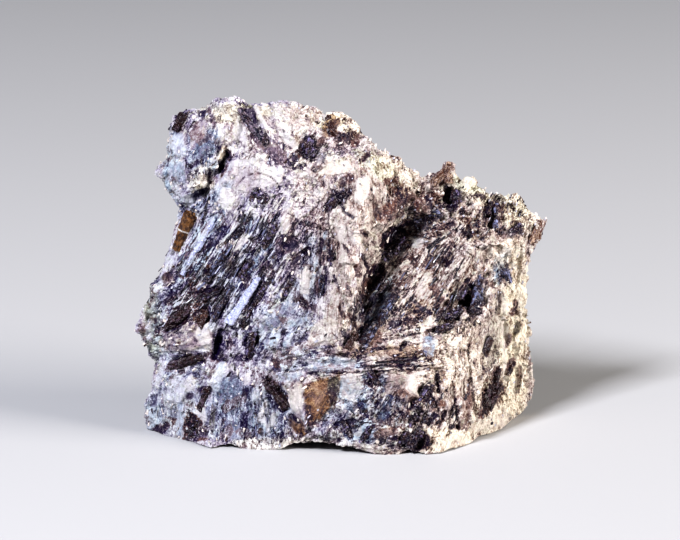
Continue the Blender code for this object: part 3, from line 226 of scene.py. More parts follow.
# The small marks on the face, placed as they line up from in front. FACETS: how much lighter or
# darker, the patch it belongs to and how strongly, and the corners (U, V) in mm.
FACETS = (
    (0.25, "pale", 1, ((-22, 18), (-20.8, 20), (-19.8, 19.2), (-19.2, 17.4), (-19.2, 15.8),
     (-20.4, 15.8))),
    (-0.55, "rust", 0.5, ((-26.2, 19.4), (-25.6, 20.8), (-24, 21.9), (-22.5, 21.8), (-22.3, 20.5),
     (-24, 19.2), (-25.8, 18.4))),
    (0.12, "cool", 0.3, ((-26.8, 28.4), (-25.8, 31.2), (-24.2, 31), (-24.4, 28.6))),
    (-0.5, "rust", 0.3, ((-12, 26.4), (-10.8, 26), (-11.2, 24), (-13.6, 20.6), (-14.2, 21.6))),
    (-0.35, "rust", 0.4, ((-8.2, 26), (-7.2, 29.4), (-5.6, 31), (-5.4, 30), (-7.2, 26.4))),
    (0.25, "pale", 0.8, ((-6.1, 24.2), (-6, 27.6), (-5.2, 28.6), (-4.4, 27.6), (-4.6, 24))),
    (-0.45, "rust", 0.2, ((-1.9, 28.8), (-1.8, 31.5), (-0.8, 30.8), (-0.6, 29.2))),
    (-0.3, "rust", 0.6, ((-9.8, 29.6), (-9.8, 32.6), (-6.2, 32.8), (-6.2, 31), (-8.2, 30))),
    (0.35, "pale", 1, ((-9.7, 33), (-8.8, 36), (-7.6, 36.2), (-7.4, 34.4), (-8, 33))),
    (-0.05, "cool", 0.9, ((-12, 30.4), (-11.6, 32.6), (-10.2, 33), (-10.2, 31))),
    (0.0, "cool", 0.6, ((-12.6, 18.4), (-10, 22), (-7.6, 23.6), (-6.4, 22.4), (-8, 20), (-11, 18))),
    (-0.35, "rust", 0.8, ((-6.6, 23.4), (-5.6, 23.6), (-3.4, 22.2), (-3.6, 21.4), (-5.4, 22))),
    (0.08, "warm", 0.7, ((-5, 16.4), (-4.4, 19.4), (-2.2, 21), (-0.4, 20), (-1, 16.4))),
    (0.3, "cool", 0.5, ((-25.6, 46), (-25, 48.4), (-23.6, 48.4), (-23.2, 45), (-24, 44.2))),
    (0.05, "cool", 0.9, ((-26, 41), (-25.6, 43.6), (-23.2, 44), (-23.2, 40.6), (-25, 40.2))),
    (-0.5, "cool", 0.2, ((-21.3, 50.5), (-21.3, 51.8), (-20, 51.9), (-20.2, 50.6))),
    (0.02, "ochre", 0.3, ((-22.4, 45.4), (-22.6, 48.4), (-21.6, 50), (-19.8, 50.2), (-20, 48.2),
     (-21.4, 46.2))),
    (-0.12, "cool", 1, ((-21.6, 44.4), (-21.6, 46.6), (-19.8, 48.4), (-18.2, 48), (-18.8, 45.8),
     (-20.2, 44.2))),
    (0.05, "warm", 0.7, ((-21.6, 40.6), (-21.4, 42.2), (-20.4, 42.4), (-19.9, 41), (-20, 40.2))),
    (0.25, "pale", 0.7, ((-16.2, 47), (-16, 49.4), (-15.4, 50.6), (-14.2, 49), (-14, 47))),
    (-0.25, "rust", 0.3, ((-14.6, 49.6), (-15.4, 51.8), (-13, 52.2), (-12.4, 50), (-13, 48.4))),
    (0.35, "pale", 1, ((-18.6, 38.2), (-17.6, 40.2), (-16.4, 40), (-16.2, 37.6), (-17.2, 36.4))),
    (-0.33, "cool", 0.5, ((-6.2, 46.2), (-5.2, 47.9), (-3.8, 48), (-3.6, 46), (-4, 44.4), (-5.6, 44.4))),
    (-0.08, "cool", 0.4, ((-3.7, 43.9), (-3.5, 45.6), (-1.9, 45.3), (-2.2, 44.3), (-3.2, 43.6))),
    (0.3, "pale", 0.8, ((-3.6, 42.2), (-1.2, 44), (1.6, 44.2), (1.2, 42.4), (-1, 41.8))),
    (0.3, "pale", 1, ((2, 38), (2.4, 41.4), (4.6, 42), (4.4, 39.4), (3.2, 37.6))),
    (0.3, "pale", 1, ((-12, 40.2), (-12, 43.4), (-8.4, 43), (-8.6, 41), (-10, 40))),
    # This polygon is painted shadow, tinted brown: it darkens the hollow to the right of the ridge.
    (-0.5, "rust", 0.5, ((2.8, 23), (3.4, 26.4), (4, 28.4), (6.6, 28.8), (7, 26.4), (5, 24.4),
     (3.4, 22.2))),
    (-0.55, "rust", 0.2, ((5.8, 31), (6.2, 33.2), (8, 34.4), (10.2, 35.2), (10.2, 33.6), (8.4, 32),
     (7.4, 30.6))),
    (-0.3, "cool", 0.6, ((8, 30.4), (8.2, 31.6), (10, 32.4), (10, 31), (9, 29.6))),
    (-0.28, "cool", 0.5, ((10.4, 33.8), (11, 35.2), (13, 35.6), (13.2, 34.4), (12, 33.4))),
    (0.15, "cool", 0.3, ((10.8, 31.2), (10.6, 32.8), (13.4, 32.2), (11.8, 30.8))),
    (-0.45, "cool", 0.5, ((2.6, 17.2), (2.8, 19), (4, 20.6), (4.8, 19.2), (4.2, 16.8))),
    (0.12, "pale", 0.4, ((11, 24), (12, 26), (13.6, 28), (14, 26), (13.6, 23.6), (12, 23.4))),
    (-0.22, "rust", 0.8, ((5, 34.8), (5.2, 36.8), (8.4, 38.4), (9.8, 38.6), (9.6, 36.4), (8, 35))),
    (0.15, "pale", 0.8, ((-23.6, 9.4), (-23.4, 11.2), (-22.2, 12.4), (-21.6, 11), (-21.8, 9.6))),
    (0.15, "cool", 0.8, ((-24.6, 3), (-24.5, 8), (-23.9, 8.4), (-23.3, 7.4), (-23.5, 2.6))),
    (-0.14, "cool", 0.6, ((-20.3, 4.4), (-20.3, 7.3), (-18.9, 7.5), (-18.6, 4.3))),
    (-0.05, "cool", 0.9, ((-18.6, 8.3), (-18.3, 11.4), (-15.6, 11.6), (-14.8, 10.2), (-15.6, 8))),
    (-0.5, "cool", 0.5, ((-14.8, 3.9), (-14.4, 6.3), (-13.6, 6.6), (-13.8, 4))),
    (0.02, "cool", 0.7, ((-17.2, 2.2), (-16.8, 4.4), (-15, 4.6), (-14.9, 2.3))),
    (0.3, "pale", 0.9, ((-12.6, 5.2), (-11.4, 8.2), (-10.7, 8), (-11.6, 4.6))),
    (0.2, "pale", 0.8, ((-11, 4.2), (-10.2, 6.8), (-9.4, 6.2), (-9.8, 4))),
    (0.2, "cool", 0.4, ((-13.5, 8.2), (-13, 9.8), (-11.8, 10.2), (-11.9, 8.4))),
    (0.15, "pale", 0.6, ((-14.6, 10.4), (-14.2, 12.2), (-13.4, 12), (-13.4, 10.4))),
    (-0.45, "cool", 0.4, ((-14.8, 8.6), (-14.6, 10), (-13.6, 10), (-13.7, 8.6))),
    (-0.45, "rust", 0.3, ((-23.2, 8.3), (-22.9, 9.3), (-21.9, 9.3), (-22.2, 8.3))),
    (-0.3, "cool", 0.5, ((-28.6, 7), (-28.4, 9), (-27.2, 9.2), (-27.4, 7.4))),
    (-0.35, "cool", 0.6, ((-28.4, 3), (-27.4, 4.6), (-26.6, 4.2), (-27.2, 2.8))),
    (-0.6, "rust", 0.2, ((22.4, 35.4), (22.6, 37), (23.3, 37.4), (23.6, 36), (23.4, 34.6))),
    # The next two polygons darken pits, partly for their dark crystals and partly as painted shade.
    (-0.6, "rust", 0.2, ((17.6, 22.8), (18.2, 24.4), (19.2, 25.9), (20.2, 26), (20.2, 23.6),
     (19.4, 22.6))),
    (-0.45, "warm", 0.3, ((15.4, 20.8), (16, 21.6), (18, 22), (18.2, 20.8), (16.6, 20))),
    (-0.5, "rust", 0.3, ((-25.8, 13.8), (-24.6, 14.6), (-22, 15), (-20.2, 15.1), (-20.3, 13.9),
     (-22.2, 13.4), (-24.8, 12.4))),
    (0.33, "cool", 0.3, ((-26.2, 8), (-25.8, 11), (-24.8, 12), (-23.2, 11.6), (-23.2, 8.6),
     (-24.6, 7.6))),
    (0.22, "pale", 0.9, ((-22, 6.4), (-21.4, 7.6), (-20.2, 7), (-19.9, 5), (-20.6, 4.8))),
    (-0.12, "cool", 1, ((-18.4, 8), (-18, 9.8), (-16, 11.6), (-14.6, 10), (-14.6, 8), (-16.6, 7.4))),
    (-0.5, "rust", 0.2, ((-10.8, 9.8), (-11, 10.8), (-10, 11.2), (-9, 10), (-9.6, 9.2))),
    (-0.5, "rust", 0.2, ((-9.6, 7.2), (-9.8, 8.2), (-9, 9.4), (-8, 8.8), (-7.8, 7), (-8.8, 6.2))),
    (0.22, "pale", 0.9, ((-7.6, 7.2), (-8, 9.6), (-5.6, 10.2), (-5.4, 7), (-6.6, 6.4))),
    (-0.3, "moss", 1, ((-2, 9.4), (-1.8, 11.7), (-0.1, 12), (-0.1, 9.4), (-1.2, 7))),
    (0.1, "cool", 0.4, ((0.2, 8.6), (0, 12), (2, 12), (3.2, 11), (3, 9), (1.6, 8))),
    (0.05, "cool", 1, ((12.4, 15.4), (12.4, 17.6), (14, 17.8), (14.4, 16.4), (13.8, 14.6))),
    (0.35, "pale", 0.8, ((10, 9.8), (10.2, 12), (11, 12), (12.1, 9.8), (11.8, 8.6))),
    (-0.1, "rust", 0.2, ((6.6, 9), (7, 12.4), (9.6, 12.2), (9.8, 9))),
    (-0.4, "rust", 1, ((22, 8), (22.2, 9.8), (23.8, 10.2), (24.2, 9.6), (23.4, 7.6), (22.4, 7.2))),
    (-0.4, "rust", 1, ((22.8, 10.8), (22.9, 12.4), (23.7, 13.4), (24.3, 12.6), (23.8, 10.8))),
    (-0.45, "rust", 0.3, ((10, 1.8), (10.4, 3.4), (13, 3.8), (13.6, 2.6), (12.6, 0.8), (11, 0.8))),
)
# STROKES: U, V, U, V, width, how much lighter or darker, the patch and how strongly, in mm.
STROKES = (
    (-23.9, 27.2, -22.6, 29.6, 0.9, 0.3, "cool", 0.6), (-22.6, 29.6, -21, 32.2, 1.1, 0.3, "cool", 0.6),
    (-21, 32.2, -19.2, 35.2, 1.1, 0.3, "cool", 0.6), (-18.2, 31.4, -14.6, 35.2, 0.2, 0.35, "cool", 0.5),
    (-19.8, 27, -17.2, 30.4, 0.5, -0.4, "rust", 0.5), (-16.2, 31.8, -14.2, 33.6, 0.4, -0.4, "rust", 0.3),
    (-19.2, 32, -17.4, 33.6, 1.6, -0.35, "cool", 0.4), (-27.6, 24.6, -26.2, 27.6, 0.8, 0.3, "cool", 0.2),
    (-26, 26.4, -24.6, 27.4, 1.4, -0.35, "warm", 0.3), (-23.6, 26.9, -22.2, 27.3, 1, -0.45, "rust", 1),
    (-22.8, 29.8, -20.6, 31.2, 1.2, -0.2, "rust", 0.4),
    (-21.9, 24.4, -20.9, 24.8, 0.8, -0.45, "rust", 0.8),
    (-20.6, 24.2, -17.2, 24.8, 1.3, -0.4, "rust", 0.5), (-25.8, 23, -25, 23.8, 1.2, -0.4, "rust", 1),
    (-20.1, 24, -19.9, 20, 0.6, -0.35, "rust", 1), (-18.8, 20, -18.3, 22.4, 0.5, -0.3, "cool", 0.6),
    (-18.1, 20.8, -17.1, 23.4, 0.7, -0.5, "cool", 0.2), (-15.2, 27, -14.2, 27.6, 1.1, -0.5, "rust", 0.3),
    (-15.5, 31.5, -14.2, 32.5, 1.5, 0.15, "warm", 0.6), (-4, 27, -3.6, 29.8, 0.5, 0.3, "cool", 1),
    (-3.3, 24.6, -2.7, 26.6, 1.2, -0.3, "rust", 0.8), (-2.2, 24.8, -2, 28, 0.5, -0.4, "cool", 0.2),
    (-2.6, 31, -2.2, 33.4, 0.6, 0.2, "cool", 1), (-3, 30.5, -2.8, 32.4, 0.5, -0.4, "rust", 0.2),
    (-5.6, 30.4, -4.9, 30.9, 0.9, -0.5, "rust", 0.2), (-8, 31.2, -6.8, 31.6, 1, -0.45, "rust", 0.3),
    (-14, 27, -12.4, 29.4, 1.3, -0.2, "cool", 0.9), (-10.8, 16.6, -9.2, 17.8, 1.2, 0.3, "cool", 0.8),
    (-8.2, 16.6, -7.6, 18, 1, 0.25, "cool", 0.8), (-7.4, 19.6, -5.4, 20.4, 1, 0.15, "cool", 0.8),
    (-8.8, 16.4, -8.6, 18.4, 0.4, -0.4, "cool", 0.3), (-6.4, 16.6, -5.2, 17.8, 0.6, -0.35, "cool", 0.3),
    (-13.8, 16.8, -13, 17.4, 1.5, -0.6, "rust", 0.2), (-24.8, 40, -22.2, 38, 0.9, 0.3, "cool", 0.3),
    (-25.2, 48.6, -24.9, 51, 0.4, 0.5, "pale", 0.5), (-19.6, 51.8, -18.9, 49.4, 0.7, -0.25, "rust", 0.6),
    (-16.9, 45.6, -16.6, 44.6, 0.7, -0.5, "rust", 0.2),
    (-17.9, 42.6, -17.2, 44.2, 0.5, -0.55, "rust", 0.2),
    (-22.4, 43.2, -21.4, 44, 0.7, -0.35, "rust", 0.3), (-19.6, 41, -19.6, 42.4, 0.5, -0.4, "cool", 0.3),
    (-21.6, 39, -20, 39.6, 1.2, -0.35, "cool", 0.4), (-21.4, 38, -18.4, 40.4, 0.5, 0.25, "cool", 0.3),
    (-18.4, 40.4, -16.4, 43.4, 0.5, 0.25, "cool", 0.3), (-13, 50, -12.8, 51.8, 0.6, -0.4, "rust", 0.3),
    (-13.4, 48.8, -12.9, 49.6, 0.7, -0.4, "rust", 0.2), (-12.8, 47.8, -11.6, 47, 1.3, -0.35, "rust", 0.5),
    (-12.6, 52, -11.2, 49.2, 0.7, 0.35, "pale", 0.6), (-16, 43.6, -13, 44, 1.1, 0.25, "pale", 0.8),
    (-3.4, 46.6, -2.8, 47.2, 1, -0.2, "rust", 1), (-4, 42.9, -3, 43.1, 0.8, -0.4, "warm", 0.4),
    (-6.8, 44.6, -6.4, 45.2, 1.2, -0.3, "rust", 0.5), (-1.4, 48.4, -0.6, 50, 1.3, -0.3, "ochre", 0.8),
    (0.2, 47, 1.4, 47.4, 1.4, -0.3, "rust", 0.6), (2, 48.3, 2.4, 48, 0.8, -0.4, "rust", 0.3),
    (2.2, 46.6, 2.6, 47.4, 1.2, -0.2, "rust", 0.6), (0.2, 40.6, 1.4, 41.6, 1.3, -0.28, "rust", 0.4),
    (-2, 37, -0.8, 38.4, 1.2, -0.5, "rust", 0.2), (-0.8, 38.4, 0.4, 39.2, 1.1, -0.45, "cool", 0.4),
    (0.2, 37.6, 0.8, 36.4, 0.5, -0.45, "cool", 0.3), (0.8, 36.4, 2, 35.6, 0.5, -0.45, "cool", 0.3),
    (3.6, 44.2, 4.2, 45, 0.7, -0.35, "rust", 0.3), (-8, 47.6, -6.8, 46.4, 1.2, 0.2, "pale", 0.5),
    (-11.5, 47, -9, 44.8, 2.2, -0.15, "rust", 0.5), (0.3, 34, 0.5, 29, 1.2, 0.2, "pale", 0.6),
    (2.5, 32.4, 3.8, 33.6, 1.6, 0.25, "pale", 0.6), (3.4, 33.5, 3.9, 32.9, 0.7, -0.4, "rust", 0.3),
    (2.4, 28.3, 2.8, 27, 0.9, -0.3, "rust", 0.8), (1.2, 25.6, 1.6, 23.8, 0.6, -0.35, "rust", 0.4),
    (-0.8, 26.8, -0.2, 25.2, 0.5, -0.35, "cool", 0.3), (0.6, 31.4, 1.1, 30.6, 0.5, -0.4, "rust", 0.4),
    (-0.2, 22.4, 0.6, 20.6, 0.6, -0.35, "rust", 0.5), (1.6, 20.8, 2.4, 19, 0.8, -0.35, "rust", 0.6),
    (0.4, 18.6, 1.2, 17.4, 0.7, -0.3, "cool", 0.4), (3.4, 30, 3.9, 28.4, 0.5, -0.45, "cool", 0.3),
    (3.4, 24.6, 4.2, 26.2, 1, -0.25, "rust", 0.9), (10.4, 33.2, 13.6, 32.4, 0.25, -0.4, "rust", 0.3),
    (3.6, 20, 5.4, 21.8, 1.2, -0.15, "cool", 1), (5.4, 21.8, 7.8, 24, 1.2, -0.15, "cool", 1),
    (3, 21, 6, 24.4, 0.5, -0.5, "cool", 0.3), (5, 17, 6, 18.8, 1.8, -0.12, "rust", 0.3),
    (7.6, 19.6, 8.8, 19.8, 1, -0.4, "cool", 0.4), (10.8, 29.6, 11.4, 28.4, 0.7, -0.25, "rust", 1),
    (15.6, 29.4, 16, 28.6, 0.8, -0.4, "rust", 1), (8.8, 26, 10.4, 26.4, 1.2, -0.22, "rust", 0.4),
    (7.4, 25, 8.4, 24.6, 1, -0.35, "rust", 0.3), (14, 25.2, 15, 23.6, 1.4, -0.3, "rust", 0.9),
    (11, 23.2, 12.2, 22, 0.6, -0.4, "cool", 0.3), (12.2, 22, 13.4, 21.4, 0.6, -0.4, "cool", 0.4),
    (14.2, 18.8, 15.6, 18.6, 0.9, -0.35, "cool", 0.3), (15.6, 21.2, 16.4, 20.8, 1, -0.45, "warm", 0.4),
    (12.4, 19, 13.8, 20.4, 1.2, 0.2, "warm", 0.4), (5.4, 36, 5.2, 38.4, 0.8, -0.25, "rust", 0.6),
    (8.6, 38.4, 10.2, 38.2, 0.6, -0.35, "rust", 0.6), (7, 41, 8.4, 41.4, 1, -0.2, "rust", 0.6),
    (13, 39.8, 13.2, 40.3, 0.7, 0.35, "pale", 0.8), (11, 38.4, 12.4, 37, 1.8, -0.2, "rust", 0.8),
    (13, 38.6, 13.6, 37.4, 0.8, -0.45, "rust", 0.4), (15, 42, 16.4, 43.4, 1.4, -0.15, "rust", 0.9),
    (16.3, 39.6, 17.2, 37.2, 1.2, -0.6, "rust", 0.2), (15, 37.4, 15.4, 37.2, 0.7, -0.45, "rust", 0.2),
    (19, 41.2, 20, 40.8, 1.1, 0.2, "warm", 0.7), (20.4, 39, 21.4, 38.8, 0.8, -0.4, "warm", 0.3),
    (24.8, 33, 26, 33.6, 1.4, -0.25, "cool", 0.3), (28.8, 32.4, 29.8, 33.4, 0.8, -0.2, "rust", 0.9),
    (20.8, 23, 21.2, 26, 1.4, -0.2, "cool", 0.5), (21.7, 22.6, 22, 26, 0.3, -0.4, "cool", 0.3),
    # (18.4, 20.8) is a painted highlight: a white fleck of reflected light.
    (18.4, 20.8, 18.6, 20.9, 0.8, 0.5, "pale", 0.8), (19.8, 20.8, 21, 21.4, 0.7, -0.45, "rust", 0.3),
    (-18.4, 15.6, -18.2, 17.6, 0.8, -0.6, "rust", 0.2), (-19, 14.6, -17.2, 14.6, 0.9, -0.35, "rust", 0.3),
    (-28.6, 17.8, -28.8, 19.6, 1, 0.25, "cool", 0.2), (-27.6, 18.2, -27.2, 19, 0.8, -0.4, "cool", 0.3),
    (-27.4, 10.4, -26.6, 13.4, 1, 0.2, "cool", 0.2), (-28.2, 4.2, -26.6, 5.6, 0.45, 0.3, "cool", 0.8),
    (-26.8, 3.6, -26, 4.4, 1, -0.4, "rust", 0.2), (-22.6, 4.6, -22, 5.6, 1, -0.45, "rust", 0.3),
    (-22.8, 2.6, -20.6, 2.8, 1.4, -0.3, "rust", 0.4), (-20.9, 9.8, -19.6, 9.8, 0.9, -0.45, "rust", 0.2),
    (-20.9, 7.4, -20.5, 8.4, 0.6, -0.5, "rust", 0.2), (-19.2, 4, -19, 7, 0.8, -0.2, "moss", 0.6),
    (-18.6, 10, -17.6, 13.6, 1.2, 0.2, "cool", 0.6), (-14.6, 4.4, -14, 6, 0.8, -0.45, "cool", 0.3),
    (-15.4, 14.6, -14, 14.4, 1, -0.35, "rust", 0.4), (-13.2, 8.2, -12.4, 9.8, 0.4, 0.4, "cool", 0.3),
    (-13.4, 15.4, -13.2, 15.6, 0.8, -0.5, "rust", 0.2), (-7.2, 5.9, -6.2, 5, 0.6, -0.5, "rust", 0.4),
    (-4.8, 7, -4.6, 4.8, 0.9, -0.2, "ochre", 0.8), (-3.6, 5, -2.4, 4.8, 0.9, -0.25, "cool", 0.5),
    (1.6, 7, 3.6, 7.6, 1.1, -0.25, "cool", 0.9), (0.9, 4.8, 1.6, 2.8, 0.8, -0.5, "cool", 0.3),
    (3.4, 2.4, 4.4, 3.8, 0.6, -0.55, "rust", 0.3), (2.6, 2.6, 3.8, 4.6, 0.8, 0.25, "cool", 1),
    (-11.4, 5.6, -10.8, 3.6, 0.5, 0.4, "pale", 0.5), (-10, 11.6, -6, 11.8, 1.1, 0.08, "cool", 0.8),
    (-4, 13.3, 1.8, 13.6, 1.4, 0.05, "cool", 0.7), (-10, 14, -9.2, 13, 0.8, -0.3, "rust", 0.6),
    (4.6, 10.6, 5.4, 12, 0.9, -0.55, "rust", 0.2), (9.2, 16, 9.8, 16.8, 0.7, -0.5, "rust", 0.2),
    (7.4, 14.3, 11.6, 14.5, 0.28, -0.35, "cool", 0.4), (6, 13.4, 11.4, 13.5, 0.4, -0.4, "cool", 0.4),
    (15, 11, 15.4, 12.2, 1, -0.3, "warm", 0.5), (12.4, 9.8, 13.4, 8.4, 1.2, -0.5, "rust", 0.5),
    (10.4, 7, 11, 8, 0.9, -0.5, "rust", 0.3), (10.8, 5.2, 11.6, 5.4, 1.4, -0.5, "cool", 0.3),
    (13.4, 5, 14, 5.8, 1, -0.5, "cool", 0.3), (6.4, 5.4, 7.4, 8.4, 1.4, -0.2, "cool", 1),
    (14.4, 7, 15.4, 7.6, 1.2, -0.2, "rust", 0.7), (15.8, 6.4, 14.8, 4.2, 0.6, -0.4, "rust", 0.7),
    (16.6, 6.2, 17.4, 8.4, 0.35, -0.4, "rust", 0.3), (18.6, 4.4, 19.4, 9, 1.4, -0.12, "rust", 0.4),
    (19.2, 9, 19.6, 11.4, 0.5, -0.3, "rust", 0.4), (16.6, 4.2, 17.6, 4.2, 0.7, -0.55, "rust", 0.2),
    (21.2, 5.4, 21.8, 9.8, 0.9, -0.35, "rust", 1), (22, 15.6, 22.4, 17.2, 1.2, -0.28, "moss", 0.8),
    (8.6, 1.4, 9.8, 2.6, 0.5, -0.45, "rust", 0.5), (5.6, 3, 8, 3.6, 1.2, -0.2, "rust", 0.5),
    (15, 2, 18.4, 2.4, 1.6, 0.15, "warm", 0.5), (20.6, 4.4, 25, 5.4, 1.8, 0.1, "warm", 0.4),
    (24.9, 16.4, 25.4, 17.8, 0.9, -0.4, "rust", 0.6), (26.4, 18.4, 26.8, 19.6, 1, -0.25, "moss", 1),
    (25.2, 13, 25.9, 14.1, 1.2, -0.35, "rust", 0.6), (25.4, 12.2, 25.6, 12.7, 0.8, -0.6, "moss", 0.6),
    (25.9, 21.2, 26.3, 22.9, 0.8, -0.4, "rust", 0.7), (24.8, 23.6, 24.4, 19, 0.5, 0.3, "pale", 0.6),
    (24.4, 19, 24.8, 11, 0.5, 0.25, "pale", 0.6), (26.4, 9.6, 27, 13, 0.9, -0.2, "moss", 0.7),
    (27.3, 20.8, 26.9, 26, 0.6, 0.3, "warm", 0.6), (23.8, 24.4, 23.6, 21.4, 0.7, -0.3, "moss", 0.6),
)
DIRECTIONS = (12, 57, 88, 125)  # the grain's main directions, in degrees
LEANING, UPRIGHT = 57, 88  # the two that also draw out the schist's specks
PLUG_SINK = 0.4  # how far a seat's filling stays under the crystal, in mm
PLUG_GROWTH = 0.42  # how far it reaches past the seat's walls
PLUG_SHRINK = 0.1  # how far it stays inside a crystal's free end
PLUG_REACH = 0.7  # a corner this near the seat's walls is a seated one
CAMERA_REACH = 600.0  # how far in front the face is seen from, in mm
AIM_HEIGHT = 27.75  # the height on the face that is looked at, in mm
CRYSTAL_REACH = 2.0  # past this distance, in mm, crystals don't matter
SETTLED = 0.15  # a crystal rises freely this far, in mm
SETTLED_SHARE = 0.45  # and this share of what would rise higher
SEAT_CLEAR = 0.5  # a spot on the face this far from a crystal is no seat
SEAT_MARGIN = 1.8  # how far around a crystal its face is measured, in mm
SEAT_SPOTS = 9  # and in how many spots each way
SEAT_RELIEF = 2.5  # spots are held this near the usual level, in mm
IN_FRONT = -30.0  # a depth that is well in front of the whole stone, in mm

# The schist's relief: sizes and heights in mm, and a seed for each layer of noise.
SPLINTERS = {"length": 2.0, "width": 1.0, "seed": 21}
RIDGES = {"length": 5.0, "width": 0.5, "seed": 41}
SLANTS = {"length": 3.0, "width": 0.6, "seed": 61}
GRAIN_SIZE = 0.55
LUMP_SIZE, LUMP_RUGGED = 4.5, 0.25  # the broad lumps, and how much higher on rugged ground
KNOB_SIZE, KNOB, KNOB_RUGGED = 1.9, 0.14, 0.42
BREAK_SIZE, BREAK, BREAK_RUGGED = 2.8, 0.12, 0.4
BACK_SIZE, BACK_LUMP, BACK_BREAK = 8.0, 0.8, 0.5
DARK_SINK = 0.18  # how far dark ground lies below pale ground
MARK_RISE = 0.5  # how far the lightest marks stand above the darkest
TONE_MARK = 0.2  # past this much lighter, a mark only shows as relief
CRYSTAL_CLEAR = (0.1, 0.9)  # the relief grows to full height over this distance
FLOOR_CLEAR = (0.05, 1.4)  # and over this height above the floor

# How the stone's points face: 1 straight to the front, 0 sideways and -1 straight back.
FACE_RELIEF = (-0.1, 0.35)  # the face's own relief comes in between these
FACE_COLOUR = (-0.45, 0.1)  # and its own colours between these
BACK_RELIEF = (-0.95, -0.5)  # the back's own relief goes out between these
THINNED = (-0.25, 0.15)  # triangles are spared wholly past the second
SPARED = 0.97  # how much less the face is thinned than the back
THINNING_PULL = 1000.0  # how strongly the thinning follows this

# How each kind of patch shifts the schist's tone, and how strongly each layer of mottling shows.
PATCH_TONES = {"warm": 0.13, "pale": 0.12, "dark": -0.33, "cool": -0.05, "ochre": -0.1}
PATCH_CONTRAST = {"dark": 0.35, "pale": -0.3, "calm": -0.55, "warm": 0.5}
MOTTLE_TONES = {"speck": 0.34, "dot": 0.26, "grit": 0.6, "block": 0.16, "patchy": 1.0}
# Specks and webs that are drawn out: degrees, length and width, in mm.
LEANING_SPECKS = (57, 2.4, 0.26)
STEEP_SPECKS = (82, 1.2, 0.26)
WIDE_WEB = (57, 1.7, 0.9)
THIN_WEB = (70, 0.9, 0.6)

# Crystals: how thick the foot and the head of some are, beside the plain crystal.
TAPERS = {"dravite_spike": (1.2, 0.3), "dravite_tip": (1.15, 0.6), "mica_blade": (1.35, 0.8)}
WEAR = 0.5  # how deep a bedded crystal is worn away, in mm
GROOVE_WIDTH, GROOVE_LENGTH = 0.22, 5.0  # the grooves along a crystal, in mm
STEP_LENGTH, STEP_HEIGHT = 1.7, 0.07  # the steps across it
BLOCK_WIDTH, BLOCK_LENGTH, BLOCK_HEIGHT = 0.45, 1.6, 0.1
# Crystals that stand free of the stone, and those that aren't worn: the starts of their names.
STANDING = ("mica_blade", "mica_lath", "dravite_spike", "dravite_tip", "dravite_corner",
            "dravite_golden", "dravite_back")
UNWORN = (*STANDING, "dravite_side", "dravite_low_8", "dravite_low_9", "dravite_left_1",
          "dravite_left_2", "dravite_upper_1")
# The finishes of dravite: its colour, the colour of its painted highlights, and how much of it these and
# dust cover.
FINISHES = {
    "dravite_black": ("black", "black_sheen", 0.09, 0.6),
    "dravite_blue_sheen": ("blue", "blue_sheen", 0.16, 0.5),
    "dravite_brown": ("brown", "brown_sheen", 0.14, 0.5),
    "dravite_paler": ("paler", "paler_sheen", 0.45, 0.7),
    "dravite_deep": ("deep", "deep_sheen", 0.12, 0.3),
    # This finish paints bright bluish highlights over half of each crystal's facets.
    "dravite_sheeny": ("blue", "bright_sheen", 0.5, 0.6),
    "dravite_crusted": ("blue", "crust", 0.35, 0.8),
}
# Crystals that look unlike the others of their kind, under the finish that they have; some have brighter
# painted highlights.
WEATHERED_AND_PAINTED_SHINE = {
    "dravite_paler": ("dravite_spike", "dravite_tip"),
    "dravite_crusted": ("dravite_upper_4",),
    "dravite_brown": ("dravite_upper_5",),
    "dravite_deep": ("dravite_side_1", "dravite_side_2", "dravite_low_8", "dravite_low_9",
                     "dravite_left_1", "dravite_left_2", "dravite_corner"),
    "dravite_sheeny": ("dravite_right_1", "dravite_right_3", "dravite_right_4", "dravite_low_1"),
}

# The lights: where each stands and how wide it is, in metres, and its colour.
KEY_LIGHT = ((-0.5, -0.55, 0.72), 0.26, (0.93, 0.94, 1.0))
FILL_LIGHT = ((0.75, -0.25, 0.3), 0.4, (1.0, 0.95, 0.885))
LIT_POINT = (0.0, 24.0, 3.0)  # the point of the face that they shine on, in mm
SKY_COLOUR = (0.9, 0.93, 1.0, 1.0)
CAMERA_SIGHT = (0.05, 20.0)  # the nearest and the farthest that the camera sees, in metres
FLOOR_MOTTLE = (60.0, 0.06)  # the size of the floor's mottle, in mm, and how much it shows

# Small dark or dusty spots on the crystals and the grains.
PIT_COLOUR = (0.045, 0.018, 0.014, 1.0)
DUST_COLOURS = (0.5, 0.44, 0.42, 1.0), (0.24, 0.2, 0.27, 1.0)
GOLDEN_PIT_COLOUR = (0.05, 0.025, 0.015, 1.0)
GRAIN_DUST_COLOUR = (0.28, 0.225, 0.265, 1.0)
GRAIN_RUFFLES = 1.6  # how many bumps roughen a grain in each mm


# ---------------------------------------------------------------- places and noise

def to_world(u, v, w):
    """A point of the face's own layout, in mm, as a world point in metres."""
    return Vector((u + FACE_MIDDLE[0], v * SIN_LEAN + w * COS_LEAN + FACE_MIDDLE[1],
                   v * COS_LEAN - w * SIN_LEAN)) * MM


def to_face(points):
    """World points in metres, as rows of U, V and W of the face's own layout, in mm."""
    x, y, z = (points / MM - np.array((*FACE_MIDDLE, 0.0))).T
    return np.stack((x, y * SIN_LEAN + z * COS_LEAN, y * COS_LEAN - z * SIN_LEAN), axis=1)


def facing_front(normals):
    """How straight each normal points out of the face: 1 out of it, 0 along it, -1 into it."""
    return -(normals[:, 1] * COS_LEAN - normals[:, 2] * SIN_LEAN)


